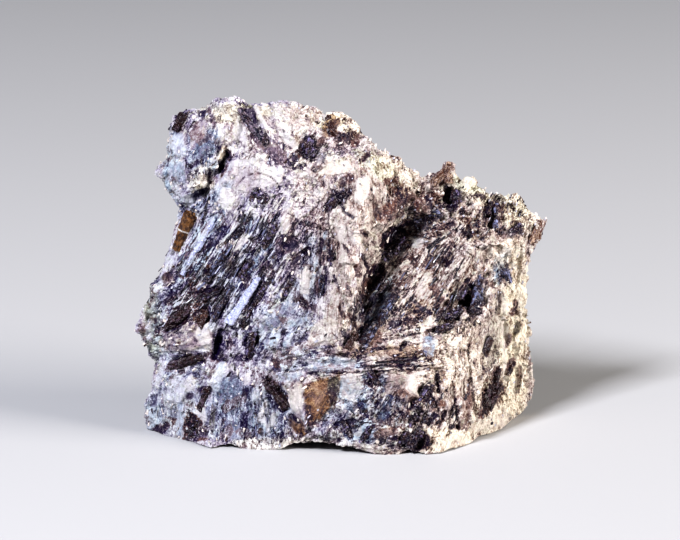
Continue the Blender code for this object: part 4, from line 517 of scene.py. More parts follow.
def hashed(cells, seed):
    """A repeatable value between -1 and 1 for each row of whole numbers."""
    mix = cells[:, 0] * 374761393 + cells[:, 1] * 668265263 + cells[:, 2] * 2147483647
    mix = (mix + seed * 974634777) & 0xFFFFFFFF
    mix = ((mix ^ (mix >> 13)) * 1274126177) & 0xFFFFFFFF
    mix = ((mix ^ (mix >> 16)) * 2246822519) & 0xFFFFFFFF
    return ((mix ^ (mix >> 15)) & 0xFFFF) / 32767.5 - 1.0


def smooth_noise(points, seed):
    """Smooth noise between -1 and 1, one bump for each unit of length."""
    corner_low = np.floor(points).astype(np.int64)
    ease = points - corner_low
    ease = ease * ease * (3.0 - 2.0 * ease)
    total = np.zeros(len(points))
    for corner in product((0, 1), repeat=3):
        weight = np.prod(np.where(corner, ease, 1.0 - ease), axis=1)
        total += weight * hashed(corner_low + np.array(corner), seed)
    return total


def fractal(points, size, seed, octaves=3):
    """Rough noise whose largest bumps have that size."""
    total, height = np.zeros(len(points)), 1.0
    for octave in range(octaves):
        total += height * smooth_noise(points / size, seed + octave)
        size, height = size * 0.47, height * 0.5
    return total


def grains(points, size, seed):
    """Cells of that size: the distance to the nearest centre, and the cell's own flat tilted top."""
    scaled = points / size
    home = np.floor(scaled).astype(np.int64)
    nearest = np.full(len(points), 1e9)
    top = np.zeros(len(points))
    for step in product((-1, 0, 1), repeat=3):
        cell = home + np.array(step)
        shift = np.stack([hashed(cell, seed + axis) for axis in range(3)], axis=1)
        offset = scaled - (cell + 0.5 + 0.42 * shift)
        distance = np.einsum("ij,ij->i", offset, offset)
        closer = distance < nearest
        tilt = np.stack([hashed(cell[closer], seed + 7 + axis) for axis in range(3)], axis=1)
        top[closer] = (0.6 * hashed(cell[closer], seed + 5)
                       + np.einsum("ij,ij->i", tilt, offset[closer]))
        nearest[closer] = distance[closer]
    return np.sqrt(nearest), top


def ease_step(values, low, high):
    """0 below low, 1 above high and smooth between."""
    share = np.clip((values - low) / (high - low), 0.0, 1.0)
    return share * share * (3.0 - 2.0 * share)


def turned(across, up, degrees):
    """Distances across and up the face, measured along and across a direction instead."""
    cosine, sine = math.cos(math.radians(degrees)), math.sin(math.radians(degrees))
    return across * cosine + up * sine, up * cosine - across * sine


# ---------------------------------------------------------------- meshes

def rows_of(items, name):
    """The vector of that name of each item, as rows."""
    values = np.empty(len(items) * 3, dtype=np.float32)
    items.foreach_get(name, values)
    return values.reshape(-1, 3).astype(np.float64)


def mesh_points(mesh):
    """The mesh's points as rows."""
    return rows_of(mesh.vertices, "co")


def mesh_normals(mesh):
    """The points' normals as rows."""
    return rows_of(mesh.vertex_normals, "vector")


def move_points(mesh, points):
    """Put the mesh's points at these rows."""
    mesh.vertices.foreach_set("co", points.astype(np.float32).ravel())
    mesh.update()


def new_object(name, data):
    """A new object of the scene that shows a mesh, a light or a camera."""
    thing = bpy.data.objects.new(name, data)
    bpy.context.collection.objects.link(thing)
    return thing


def applied(thing):
    """The object's mesh with its modifiers applied; the object itself is removed."""
    graph = bpy.context.evaluated_depsgraph_get()
    mesh = bpy.data.meshes.new_from_object(thing.evaluated_get(graph), depsgraph=graph)
    bpy.data.objects.remove(thing, do_unlink=True)
    return mesh


def merged_copy(node):
    """A bmesh copy of a CAD node with its loose triangles joined up."""
    mesh = bmesh.new()
    mesh.from_mesh(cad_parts[node].data)
    bmesh.ops.remove_doubles(mesh, verts=mesh.verts, dist=1e-6)
    return mesh


def remeshed(mesh, name, voxel):
    """The union of a bmesh's closed shells as an even mesh of that voxel size, in mm."""
    data = bpy.data.meshes.new(name)
    mesh.to_mesh(data)
    mesh.free()
    thing = new_object(name, data)
    modifier = thing.modifiers.new("Remesh", "REMESH")
    modifier.mode = "VOXEL"
    modifier.voxel_size = voxel * MM
    result = applied(thing)
    result.name = name
    return result


# ---------------------------------------------------------------- shader building

class Wire:
    """A socket's value in a node tree; arithmetic on it adds Math nodes."""

    def __init__(self, graph, socket):
        self.graph = graph
        self.socket = socket

    def _math(self, operation, *values):
        return self.graph.node("ShaderNodeMath", {"operation": operation}, dict(enumerate(values)))

    def __add__(self, other):
        return self._math("ADD", self, other)

    def __sub__(self, other):
        return self._math("SUBTRACT", self, other)

    def __rsub__(self, other):
        return self._math("SUBTRACT", other, self)

    def __mul__(self, other):
        return self._math("MULTIPLY", self, other)

    __radd__ = __add__
    __rmul__ = __mul__

    def clamped(self):
        """The value held between 0 and 1."""
        return self.graph.node("ShaderNodeClamp", {}, {"Value": self})

    def step(self, low, high):
        """0 below low, 1 above high and smooth between."""
        settings = {"interpolation_type": "SMOOTHSTEP"}
        sockets = {"Value": self, "From Min": low, "From Max": high}
        return self.graph.node("ShaderNodeMapRange", settings, sockets)


def opaque(colour):
    """A colour of three numbers with its alpha."""
    return (*colour, 1.0)


def set_stops(ramp, stops):
    """Give a colour ramp these stops: a position and a colour each."""
    while len(ramp.elements) < len(stops):
        ramp.elements.new(1.0)
    for element, (position, shade) in zip(ramp.elements, stops):
        element.position = position
        element.color = opaque(shade)


class Graph:
    """A node tree of a material or a modifier under construction."""

    def __init__(self, tree):
        self.tree = tree
        tree.nodes.clear()

    def node(self, kind, settings, sockets, output=0):
        """Add a node: its settings first, then the values or links of its sockets."""
        made = self.tree.nodes.new(kind)
        for name, value in settings.items():
            if name == "stops":
                set_stops(made.color_ramp, value)
            else:
                setattr(made, name, value)
        for name, value in sockets.items():
            if isinstance(value, Wire):
                self.tree.links.new(value.socket, made.inputs[name])
            else:
                made.inputs[name].default_value = value
        return Wire(self, made.outputs[output]) if made.outputs else made

    def separate(self, vector):
        """The three parts of a vector or a colour."""
        parts = self.node("ShaderNodeSeparateXYZ", {}, {0: vector})
        outputs = parts.socket.node.outputs
        return [Wire(self, outputs[axis]) for axis in range(3)]

    def vector(self, operation, first, second):
        """Vector maths on two vectors; Scale takes a number as its second."""
        slot = 3 if operation == "SCALE" else 1
        return self.node("ShaderNodeVectorMath", {"operation": operation}, {0: first, slot: second})

    def blend(self, share, first, second, mode="MIX"):
        """Two colours mixed by a share of the second."""
        settings = {"data_type": "RGBA", "blend_type": mode}
        return self.node("ShaderNodeMix", settings, {0: share, 6: first, 7: second}, output=2)

    def attribute(self, name, output="Fac"):
        """A number, or a vector, kept at the points of the mesh."""
        return self.node("ShaderNodeAttribute", {"attribute_name": name}, {}, output=output)

    def place(self):
        """The point in mm in the face's layout, as U, W and V."""
        here = self.node("ShaderNodeTexCoord", {}, {}, output="Object")
        sockets = {"Vector": here, "Rotation": (LEAN, 0.0, 0.0), "Scale": (1 / MM,) * 3}
        return self.node("ShaderNodeMapping", {}, sockets)

    def noise(self, place, size, detail=2.0, output="Fac"):
        """Noise between 0 and 1 with bumps of that size, in mm."""
        sockets = {"Vector": place, "Scale": 1 / size, "Detail": detail}
        return self.node("ShaderNodeTexNoise", {}, sockets, output=output)

    def cells(self, place, size, output="Color"):
        """Irregular cells of that size, in mm: a colour each, or the distance to the centre."""
        return self.node("ShaderNodeTexVoronoi", {}, {"Vector": place, "Scale": 1 / size}, output)

    def ruffled(self, place, size, shift):
        """The place moved by noise of that size, up to about half of shift, in mm."""
        ruffle = self.noise(place, size, 3.0, output="Color")
        return self.vector("ADD", place, self.vector("SCALE", ruffle, shift))

    def web(self, place, size):
        """The distance to the nearest border between cells of that size, in cells."""
        return self.node("ShaderNodeTexVoronoi", {"feature": "DISTANCE_TO_EDGE"}, {
            "Vector": place, "Scale": 1.0 / size}, output="Distance")

    def scaled(self, place, length, width):
        """A place measured in bumps of that length along its first axis and that width."""
        return self.vector("MULTIPLY", place, (1 / length, 1 / width, 1 / width))

    def stretched(self, place, degrees, length, width):
        """The face's points measured along and across one direction, in bumps of that size."""
        turned = self.node("ShaderNodeMapping", {}, {
            "Vector": place, "Rotation": (0.0, math.radians(degrees), 0.0)})
        return self.scaled(turned, length, width)

    def streaks(self, place, degrees, length, width):
        """Noise drawn out along one direction of the face."""
        return self.noise(self.stretched(place, degrees, length, width), 1.0)

    def ramp(self, tone, stops):
        """A tone from 0 to 1 as a colour between stops."""
        return self.node("ShaderNodeValToRGB", {"stops": stops}, {"Fac": tone})

    def tilted_normal(self, place, size, tilt):
        """The surface's normal leant a different way in each cell of that size."""
        lean = self.vector("SUBTRACT", self.cells(place, size), (0.5, 0.5, 0.5))
        normal = self.node("ShaderNodeNewGeometry", {}, {}, output="Normal")
        return self.vector("ADD", normal, self.vector("SCALE", lean, tilt))

    def random(self, low, high, seed):
        """A random vector for each point or instance."""
        sockets = {0: low, 1: high, "Seed": seed}
        return self.node("FunctionNodeRandomValue", {"data_type": "FLOAT_VECTOR"}, sockets)

    def bump(self, height, strength, depth, normal=None):
        """A bumped normal; depth is in mm."""
        sockets = {"Strength": strength, "Distance": depth * MM, "Height": height}
        if normal:
            sockets["Normal"] = normal
        return self.node("ShaderNodeBump", {}, sockets)


def new_material(name):
    """An empty material of that name and its graph."""
    material = bpy.data.materials.new(name)
    material.use_nodes = True
    return material, Graph(material.node_tree)


def finish_material(graph, sockets):
    """Join a Principled shader with these sockets to the material's output."""
    shader = graph.node("ShaderNodeBsdfPrincipled", {}, sockets)
    graph.node("ShaderNodeOutputMaterial", {}, {"Surface": shader})


# ---------------------------------------------------------------- the schist's shape

def inward():
    """The direction straight into the stone from its crystal-rich face."""
    return Vector((0.0, COS_LEAN, -SIN_LEAN))


def crystal_nodes():
    """The names of the CAD nodes that are crystals."""
    return sorted(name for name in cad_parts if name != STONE)


def tree_of(mesh):
    """A search tree of a bmesh's surface."""
    return BVHTree.FromBMesh(mesh)


def face_around(surface, points, tree):
    """The plane of the face around a crystal: its W is a + b U + c V, in mm."""
    low, high = points[:, :2].min(axis=0) - SEAT_MARGIN, points[:, :2].max(axis=0) + SEAT_MARGIN
    rows = []
    for u in np.linspace(low[0], high[0], SEAT_SPOTS):
        for v in np.linspace(low[1], high[1], SEAT_SPOTS):
            spot = surface.ray_cast(to_world(u, v, IN_FRONT), inward())[0]
            if spot is not None and tree.find_nearest(spot)[3] > SEAT_CLEAR * MM:
                rows.append((u, v, to_face(np.array([spot[:]]))[0, 2]))
    rows = np.array(rows)
    ones = np.ones(len(rows))
    middle = np.median(rows[:, 2])
    rows[:, 2] = np.clip(rows[:, 2], middle - SEAT_RELIEF, middle + SEAT_RELIEF)
    level = np.stack((ones, rows[:, 0], rows[:, 1]), axis=1)
    return np.linalg.lstsq(level, rows[:, 2], rcond=None)[0]


def settled(node, surface):
    """A crystal's mesh with its free side pressed nearly level with the face around it."""
    mesh = merged_copy(node)
    if node.startswith(STANDING):
        return mesh
    points = to_face(np.array([corner.co[:] for corner in mesh.verts]))
    a, b, c = face_around(surface, points, tree_of(mesh))
    level = a + b * points[:, 0] + c * points[:, 1]
    height = level - points[:, 2]
    proud = np.where(height > SETTLED, SETTLED + SETTLED_SHARE * (height - SETTLED), height)
    for corner, point, depth in zip(mesh.verts, points, level - proud):
        corner.co = to_world(point[0], point[1], depth)
    return mesh


def add_plug(stone, node, surface):
    """Fill a crystal's seat in the stone to a little under the crystal's top."""
    plug = settled(node, surface)
    plug.normal_update()
    way = -1.0 if node.startswith("dravite_back") else 1.0
    shift = inward() * way * PLUG_SINK * MM
    moves = []
    for corner in plug.verts:
        seated = surface.find_nearest(corner.co)[3] < PLUG_REACH * MM
        moves.append(corner.normal * (PLUG_GROWTH if seated else -PLUG_SHRINK) * MM)
    for corner, move in zip(plug.verts, moves):
        corner.co += move + shift
    data = bpy.data.meshes.new("plug")
    plug.to_mesh(data)
    plug.free()
    stone.from_mesh(data)
    bpy.data.meshes.remove(data)


def patch_field(face, rows, wobble):
    """How far the patches cover each point: their strength in the middle, 0 outside."""
    field = np.zeros(len(face))
    for u, v, half_length, half_width, degrees, strength in rows:
        along, across = turned(face[:, 0] - u, face[:, 1] - v, degrees)
        reach = np.sqrt((along / half_length) ** 2 + (across / half_width) ** 2) + wobble
        np.maximum(field, strength * (1.0 - ease_step(reach, 0.7, 1.2)), out=field)
    return field


def line_field(face, rows):
    """The height of the thin cracks and laths."""
    height = np.zeros(len(face))
    for u0, v0, u1, v1, width, rise in rows:
        du, dv = u1 - u0, v1 - v0
        length = math.hypot(du, dv)
        along = ((face[:, 0] - u0) * du + (face[:, 1] - v0) * dv) / length
        across = ((face[:, 1] - v0) * du - (face[:, 0] - u0) * dv) / length
        beyond = np.maximum(0.0, np.maximum(-along, along - length))
        reach = np.hypot(across, beyond) / width
        height += rise * (1.0 - ease_step(reach, 0.6, 1.6))
    return height


def pit_field(face, rows, wobble):
    """The height of the round hollows and knobs."""
    height = np.zeros(len(face))
    for u, v, radius, rise in rows:
        reach = np.hypot(face[:, 0] - u, face[:, 1] - v) / radius + wobble
        height += rise * (1.0 - ease_step(reach, 0.35, 1.1))
    return height


def plate_cover(face, corners):
    """1 inside a plate's corners and 0 outside."""
    inside = np.full(len(face), 1e9)
    for (u0, v0), (u1, v1) in zip(corners, corners[1:] + corners[:1]):
        du, dv = u1 - u0, v1 - v0
        across = ((face[:, 0] - u0) * dv - (face[:, 1] - v0) * du) / math.hypot(du, dv)
        inside = np.minimum(inside, across)
    return ease_step(inside, -0.1, 0.2)


def plate_field(face, rows):
    """The height of the flat cleaved plates."""
    return sum(rise * plate_cover(face, corners) for rise, _, _, corners in rows)


def seen(face, wobble):
    """The face's points as they line up from in front, with ragged edges."""
    nearness = 1.0 + face[:, 2] / CAMERA_REACH
    across = face[:, 0] / nearness
    up = AIM_HEIGHT + (face[:, 1] - AIM_HEIGHT) / nearness
    return np.stack((across + 0.5 * wobble, up - 0.5 * wobble), axis=1)


def stroke_cover(place, ends, width):
    """1 along a stroke between two ends and 0 past its width."""
    first, second = np.array(ends[:2]), np.array(ends[2:])
    line = second - first
    share = np.clip((place - first) @ line / (line @ line + 1e-9), 0.0, 1.0)
    away = np.linalg.norm(place - first - share[:, None] * line, axis=1)
    return 1.0 - ease_step(away, width / 2 - 0.1, width / 2 + 0.12)


def points_near(place, corners, margin):
    """Which points lie within the box around some corners, or less than the margin past it."""
    low, high = np.min(corners, axis=0) - margin, np.max(corners, axis=0) + margin
    return np.nonzero(((place > low) & (place < high)).all(axis=1))[0]


def marks(face, wobble):
    """Each small mark on the face: the points it may cover, how far, its tone and its patch."""
    place = seen(face, wobble)
    for tone, patch, strength, corners in FACETS:
        near = points_near(place, corners, 0.5)
        yield near, plate_cover(place[near], corners), tone, patch, strength
    for u0, v0, u1, v1, width, tone, patch, strength in STROKES:
        near = points_near(place, ((u0, v0), (u1, v1)), width)
        cover = stroke_cover(place[near], (u0, v0, u1, v1), width)
        yield near, cover, tone, patch, strength


def mark_tone(face, wobble):
    """How much lighter or darker the marks make each point, and how far they cover it."""
    total, covered = np.zeros(len(face)), np.zeros(len(face))
    for near, cover, tone, _, _ in marks(face, wobble):
        total[near] += cover * (tone - total[near])
        covered[near] = np.maximum(covered[near], cover)
    return total, covered


def grain_angle(face):
    """The angle of the schist's grain at each point of the face."""
    u, v, degrees = np.array(FOLIATION, dtype=float).T
    twice = np.radians(2.0 * degrees)
    pull = 1.0 / ((face[:, :1] - u) ** 2 + (face[:, 1:2] - v) ** 2 + 1.0) ** 2
    return 0.5 * np.arctan2(pull @ np.sin(twice), pull @ np.cos(twice))


def direction_shares(angle):
    """How much each main direction of the grain counts at each point."""
    turn = angle[:, None] - np.radians(DIRECTIONS)
    shares = np.clip(np.cos(2.0 * turn), 0.02, 1.0) ** 3
    return shares / shares.sum(axis=1, keepdims=True)


def drawn_out(face, degrees, length, width):
    """The face's points measured along and across one direction, in bumps of that size."""
    along, across = turned(face[:, 0], face[:, 1], degrees)
    return np.stack((along / length, across / width, face[:, 2] / width), axis=1)


def streak_field(face, shares, length, width, seed):
    """Ridges that follow the grain, between -1 and 1."""
    height = np.zeros(len(face))
    for share, degrees in zip(shares.T, DIRECTIONS):
        here = share > 0.05
        points = drawn_out(face[here], degrees, length, width)
        height[here] += share[here] * fractal(points, 1.0, seed, 2)
    return height


def splinter_field(face, shares, length, width, seed):
    """Flat-topped splinters that lie along the grain."""
    height = np.zeros(len(face))
    strongest = shares.argmax(axis=1)
    for index, degrees in enumerate(DIRECTIONS):
        here = strongest == index
        if here.any():
            points = drawn_out(face[here], degrees, length, width)
            height[here] = grains(points, 1.0, seed + index)[1]
    return height


def crystal_distance(points):
    """The distance from each point to the nearest crystal, up to a few mm."""
    every = bmesh.new()
    for node in crystal_nodes():
        every.from_mesh(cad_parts[node].data)
    tree = tree_of(every)
    every.free()
    reach = CRYSTAL_REACH * MM
    found = (tree.find_nearest(point, reach)[3] for point in points)
    return np.array([CRYSTAL_REACH if distance is None else distance / MM for distance in found])


def fine_relief(face, shares, front, streaky, sizes):
    """The height of the splinters, the small grains and the ridges along the grain."""
    height = splinter_field(face, shares, **SPLINTERS) * sizes.splinter_height
    height = height + grains(face, GRAIN_SIZE, 31)[1] * sizes.grain_height
    ridges = streak_field(face, shares, **RIDGES) * sizes.streak_height
    return height + ridges * (0.35 + 0.65 * front + 0.9 * streaky)


def broad_relief(face, wobble, facing, calm, rugged, sizes):
    """The height of the lumps, the knobs and the broken blocks, in mm."""
    knobs = fractal(face, KNOB_SIZE, 55, 2) * (KNOB + KNOB_RUGGED * rugged)
    broken = grains(face + 0.5 * wobble[:, None], BREAK_SIZE, 57)[1]
    height = fractal(face, LUMP_SIZE, 51, 2) * (sizes.lump_height / MM + LUMP_RUGGED * rugged)
    height += (knobs + broken * (BREAK + BREAK_RUGGED * rugged)) * (1.0 - 0.7 * calm)
    back = BACK_LUMP * fractal(face, BACK_SIZE, 59, 2) + BACK_BREAK * broken
    return height + (1.0 - ease_step(facing, *BACK_RELIEF)) * back


def carve(data, sizes):
    """Move the stone's points to give its grains, streaks, cracks, plates and hollows."""
    points, normals = mesh_points(data), mesh_normals(data)
    face, facing = to_face(points), facing_front(normals)
    front = ease_step(facing, *FACE_RELIEF)
    shares = direction_shares(grain_angle(face))
    wobble = 0.25 * fractal(face, 1.6, 3, 2)
    calm, dark, streaky, rugged = (patch_field(face, rows, wobble) * front for rows in (
        PATCHES["calm"], PATCHES["dark"], STREAKY, RUGGED))
    tone, covered = mark_tone(face, wobble)
    fine = fine_relief(face, shares, front, streaky, sizes)
    fine *= (1.0 - 0.75 * calm) * (1.0 - 0.5 * front * covered) / MM
    height = fine + broad_relief(face, wobble, facing, calm, rugged, sizes)
    height += front * (line_field(face, LINES) + plate_field(face, PLATES))
    height += front * (pit_field(face, PITS, wobble) + MARK_RISE * tone) - DARK_SINK * dark
    clear = ease_step(crystal_distance(points), *CRYSTAL_CLEAR)
    height = np.where(height > 0, height * (0.35 + 0.65 * clear), height)
    standing = ease_step(points[:, 2] / MM, *FLOOR_CLEAR)
    moved = points + normals * (height * standing * MM)[:, None]
    moved[:, 2] = np.maximum(moved[:, 2], 0.0)
    move_points(data, moved)
    set_field(data, "relief", fine * standing)


def set_field(data, name, values):
    """Keep a number or a vector at each point of the mesh."""
    kind, part = ("FLOAT", "value") if values.ndim == 1 else ("FLOAT_VECTOR", "vector")
    field = data.attributes.new(name, kind, "POINT")
    field.data.foreach_set(part, values.astype(np.float32).ravel())


def thinned(data, limit):
    """The mesh with fewer triangles, taken mostly from its back and foot."""
    weights = 1.0 - SPARED * ease_step(facing_front(mesh_normals(data)), *THINNED)
    thing = new_object("thinning", data)
    group = thing.vertex_groups.new(name="spare")
    levels = np.round(weights * 10).astype(int)
    for level in range(1, 11):
        group.add(np.nonzero(levels == level)[0].tolist(), level / 10, "REPLACE")
    modifier = thing.modifiers.new("Decimate", "DECIMATE")
    modifier.ratio = limit / (len(data.loops) - 2 * len(data.polygons))
    modifier.vertex_group = group.name
    modifier.vertex_group_factor = THINNING_PULL
    modifier.use_collapse_triangulate = True
    return applied(thing)


def patch_fields(face, front, wobble):
    """How far each kind of patch covers the stone's points: its patches, its plates and its marks."""
    fields = {}
    ragged = face + 0.5 * wobble[:, None]
    for order, (name, rows) in enumerate(PATCHES.items()):
        field = patch_field(face, rows, wobble)
        for _, patch, strength, corners in PLATES:
            if patch == name:
                field = np.maximum(field, strength * plate_cover(ragged, corners))
        unseen = 0.7 * ease_step(fractal(face, 5.0, 70 + 5 * order, 3), 0.35, 0.9)
        fields[name] = field * front + unseen * (1.0 - front)
    for near, cover, _, patch, strength in marks(face, wobble):
        cover = 0.8 * cover * front[near]
        for name, field in fields.items():
            if name != "calm":
                field[near] += cover * ((strength if name == patch else 0.0) - field[near])
    return fields


def shade_fields(data):
    """Keep at the stone's points what its colours and its grains follow."""
    face, facing = to_face(mesh_points(data)), facing_front(mesh_normals(data))
    front = ease_step(facing, *FACE_COLOUR)
    wobble = 0.3 * fractal(face, 1.3, 3, 3)
    angle = grain_angle(face)
    shares = direction_shares(angle)
    tone, covered = mark_tone(face, wobble)
    fields = patch_fields(face, front, wobble)
    dark, pale, cool, calm = (fields[name] for name in ("dark", "pale", "cool", "calm"))
    streaky = patch_field(face, STREAKY, wobble) * front
    slanted = streak_field(face, shares, **SLANTS) > -0.1
    bare = 1.0 - 0.7 * covered
    fields.update({
        "mark": np.minimum(tone, TONE_MARK) * front,
        "marked": covered * front,
        "streaky": streaky,
        "shade": np.full(len(face), 0.4),
        # The share of the right side's colours, which are partly painted warm light.
        "rightward": ease_step(face[:, 0] + 7.0 * fractal(face, 5.0, 93, 3), -16.0, 8.0),
        "crack": np.clip(-1.6 * line_field(face, LINES), 0.0, 1.0) * front,
        "needle_room": np.clip(0.3 + dark + 0.3 * cool - pale - calm, 0.0, 1.5) * streaky
                       * slanted * bare,
        "dark_room": np.clip(0.03 + dark - 0.5 * calm, 0.0, 1.0) * (0.3 + 0.7 * front) * bare,
        "pale_room": np.clip(0.9 - dark - 0.7 * calm, 0.05, 1.0) * (0.3 + 0.7 * front) * bare,
        "flake_room": np.clip(0.25 + 0.6 * cool + 0.5 * dark - 0.3 * calm, 0.0, 1.5)
                      * (0.4 + 0.6 * front)})
    fields.update((f"grain_{degrees}", share) for degrees, share in zip(DIRECTIONS, shares.T))
    for name, field in fields.items():
        set_field(data, name, field)
    flow = np.stack((np.cos(angle), np.sin(angle) * SIN_LEAN, np.sin(angle) * COS_LEAN), axis=1)
    set_field(data, "along", flow)


def make_stone(sizes):
    """The fine stone in place of the CAD one."""
    stone = merged_copy(STONE)
    surface = tree_of(stone)
    for node in crystal_nodes():
        add_plug(stone, node, surface)
    data = remeshed(stone, "schist", sizes.voxel / MM)
    carve(data, sizes)
    data = thinned(data, sizes.triangles)
    shade_fields(data)
    return data


# ---------------------------------------------------------------- the schist's finish

def tone_stops(shades):
    """The stops of a ramp through a dark, a middle and a light colour."""
    dark, middle, light = (np.array(shade) for shade in shades)
    return [(0.1, tuple(dark)), (0.3, tuple(dark + 0.24 * (middle - dark))), (0.5, tuple(middle)),
            (0.72, tuple(middle + 0.6 * (light - middle))), (0.95, tuple(light))]


def schist_mottle(graph, place):
    """The layers of specks, grit, clouds, webs and streaks that mottle the schist."""
    warped = graph.ruffled(place, 0.5, 0.6)
    leaning = graph.cells(graph.stretched(graph.ruffled(place, 0.9, 0.3), *LEANING_SPECKS), 1.0)
    steep = graph.cells(graph.stretched(warped, *STEEP_SPECKS), 1.0)
    along = graph.attribute(f"grain_{UPRIGHT}").step(0.35, 0.6) * 0.8
    specks = graph.blend(along, graph.cells(warped, 0.7), steep)
    along = graph.attribute(f"grain_{LEANING}").step(0.35, 0.6)
    specks = graph.blend(along * graph.attribute("streaky").step(0.2, 0.5), specks, leaning)
    streak = 0.0
    for degrees in DIRECTIONS:
        share = graph.attribute(f"grain_{degrees}")
        streak = share * graph.streaks(place, degrees, 3.4, 0.28) + streak
    return {
        "warped": warped, "streak": streak, "speck": graph.separate(specks),
        "dot": graph.separate(graph.cells(warped, 0.24)),
        "block": graph.separate(graph.cells(warped, 1.9)),
        "grit": graph.noise(place, 0.13, 2.0), "patchy": graph.noise(place, 1.5, 4.0),
        "cloud": graph.noise(place, 2.6, 4.0),
        "web": graph.web(graph.stretched(warped, *WIDE_WEB), 1.0),
        "thin_web": graph.web(graph.stretched(warped, *THIN_WEB), 1.0)}


def schist_tone(field, mottle):
    """How dark or light the schist is, from 0 to 1."""
    lively = 1.0
    for name, share in PATCH_CONTRAST.items():
        lively = share * field[name] + lively
    lively = lively * (1.0 - 0.5 * field["marked"])
    tone = (1.2 + 1.3 * field["streaky"]) * (mottle["streak"] - 0.5) + 0.5 * field["relief"]
    shown = {"speck": mottle["speck"][0], "dot": mottle["dot"][1], "block": mottle["block"][0],
             "grit": mottle["grit"], "patchy": mottle["patchy"]}
    for name, share in MOTTLE_TONES.items():
        tone = share * (shown[name] - 0.5) + tone
    lines = (0.07 - mottle["web"]).step(0.0, 0.05) * 0.22
    lines = lines + (0.06 - mottle["thin_web"]).step(0.0, 0.05) * 0.16
    tone = (tone + lines * (0.7 - field["pale"])) * lively + 0.55 + 0.9 * field["mark"]
    for name, share in PATCH_TONES.items():
        tone = share * field[name] + tone
    tone = tone + 0.35 * (field["shade"] - 0.4) - 0.5 * field["crack"]
    # Painted highlights: tiny bright dots in the darkest ground stand in for mica catching the light.
    painted_glints = mottle["dot"][2].step(0.9, 0.93) * (0.5 - tone).step(0.0, 0.2) * 0.35
    return (tone + painted_glints).clamped()


def schist_material(colours):
    """Mica schist: soft clouds of cream, rose and violet grey, full of dark specks and webs."""
    material, graph = new_material("schist")
    place = graph.place()
    names = (*PATCHES, "mark", "marked", "relief", "crack", "shade", "rightward", "streaky")
    field = {name: graph.attribute(name) for name in names}
    mottle = schist_mottle(graph, place)
    speck, dot, block, cloud = (mottle[name] for name in ("speck", "dot", "block", "cloud"))
    tone = schist_tone(field, mottle)

    def shades(*three):
        """The tone as a colour through three shades."""
        return graph.ramp(tone, tone_stops(three))

    # Partly painted light: the violet and lilac of the left side and the rose and cream of the right
    # stand in part for a cool light from the left and a warm light from the right.
    rightward = (field["rightward"] + 0.45 * field["pale"] + 0.6 * (cloud - 0.5)).clamped()
    colour = graph.blend(rightward, shades(colours.night, colours.violet, colours.lilac),
                         shades(colours.black, colours.rose, colours.cream))
    rusty = field["rust"] * (0.4 + 0.8 * block[1]) + 0.55 * block[2].step(0.7, 0.8)
    layers = (
        (speck[1].step(0.65, 0.85) * 0.4 + field["moss"] * (0.5 + 0.6 * cloud),
         (colours.black, colours.moss, colours.olive)),
        (field["cool"] * (0.35 + 0.9 * speck[2]), (colours.night, colours.slate, colours.blue)),
        (field["warm"] * (0.35 + 0.6 * cloud), (colours.black, colours.sand, colours.warm)),
        (rusty * (0.8 - tone).step(0.0, 0.4), (colours.black, colours.rust, colours.cream)),
        (field["ochre"] * (0.45 + 0.7 * cloud), (colours.black, colours.ochre, colours.tan)))
    for cover, three in layers:
        colour = graph.blend(cover.clamped(), colour, shades(*three))
    gloss = 0.62 - 0.3 * speck[1].step(0.55, 0.8) - 0.25 * (0.5 - tone).step(0.0, 0.3)
    height = dot[0] * 0.5 + mottle["grit"] + mottle["streak"]
    normal = graph.tilted_normal(mottle["warped"], 0.4, 0.45)
    finish_material(graph, {
        "Base Color": colour, "Roughness": (gloss - 0.12 * dot[0]).clamped(),
        "Normal": graph.bump(height, 0.5, 0.12, normal), "Specular IOR Level": 0.25})
    return material


# ---------------------------------------------------------------- crystals

def crystal_axis(points):
    """The middle of a crystal and the direction of its longest side."""
    middle = (points.max(axis=0) + points.min(axis=0)) / 2.0
    spread = points - points.mean(axis=0)
    return middle, np.linalg.svd(spread, full_matrices=False)[2][0]


def tapered(points, foot_scale, head_scale):
    """The points drawn in towards the line from their foot to their head."""
    share = (points[:, 2] - points[:, 2].min()) / np.ptp(points[:, 2])
    foot, head = points[share < 0.15].mean(axis=0), points[share > 0.85].mean(axis=0)
    middle = foot + share[:, None] * (head - foot)
    scale = foot_scale + share * (head_scale - foot_scale)
    drawn_in = middle + (points - middle) * scale[:, None]
    drawn_in[:, 2] = points[:, 2]
    return drawn_in


def stretched_along(across, axis, along, width, length):
    """A crystal's points measured in bumps of that width across it and that length along it."""
    return across / width + axis * (along / length)[:, None]


def crystal_steps(along, points, seed):
    """The height, between -1 and 1, of the steps across a crystal."""
    steps = np.floor(along / STEP_LENGTH + 0.35 * smooth_noise(points / 1.2, seed + 4))
    return hashed(np.stack((steps, steps * 0, steps * 0), axis=1).astype(np.int64), seed)


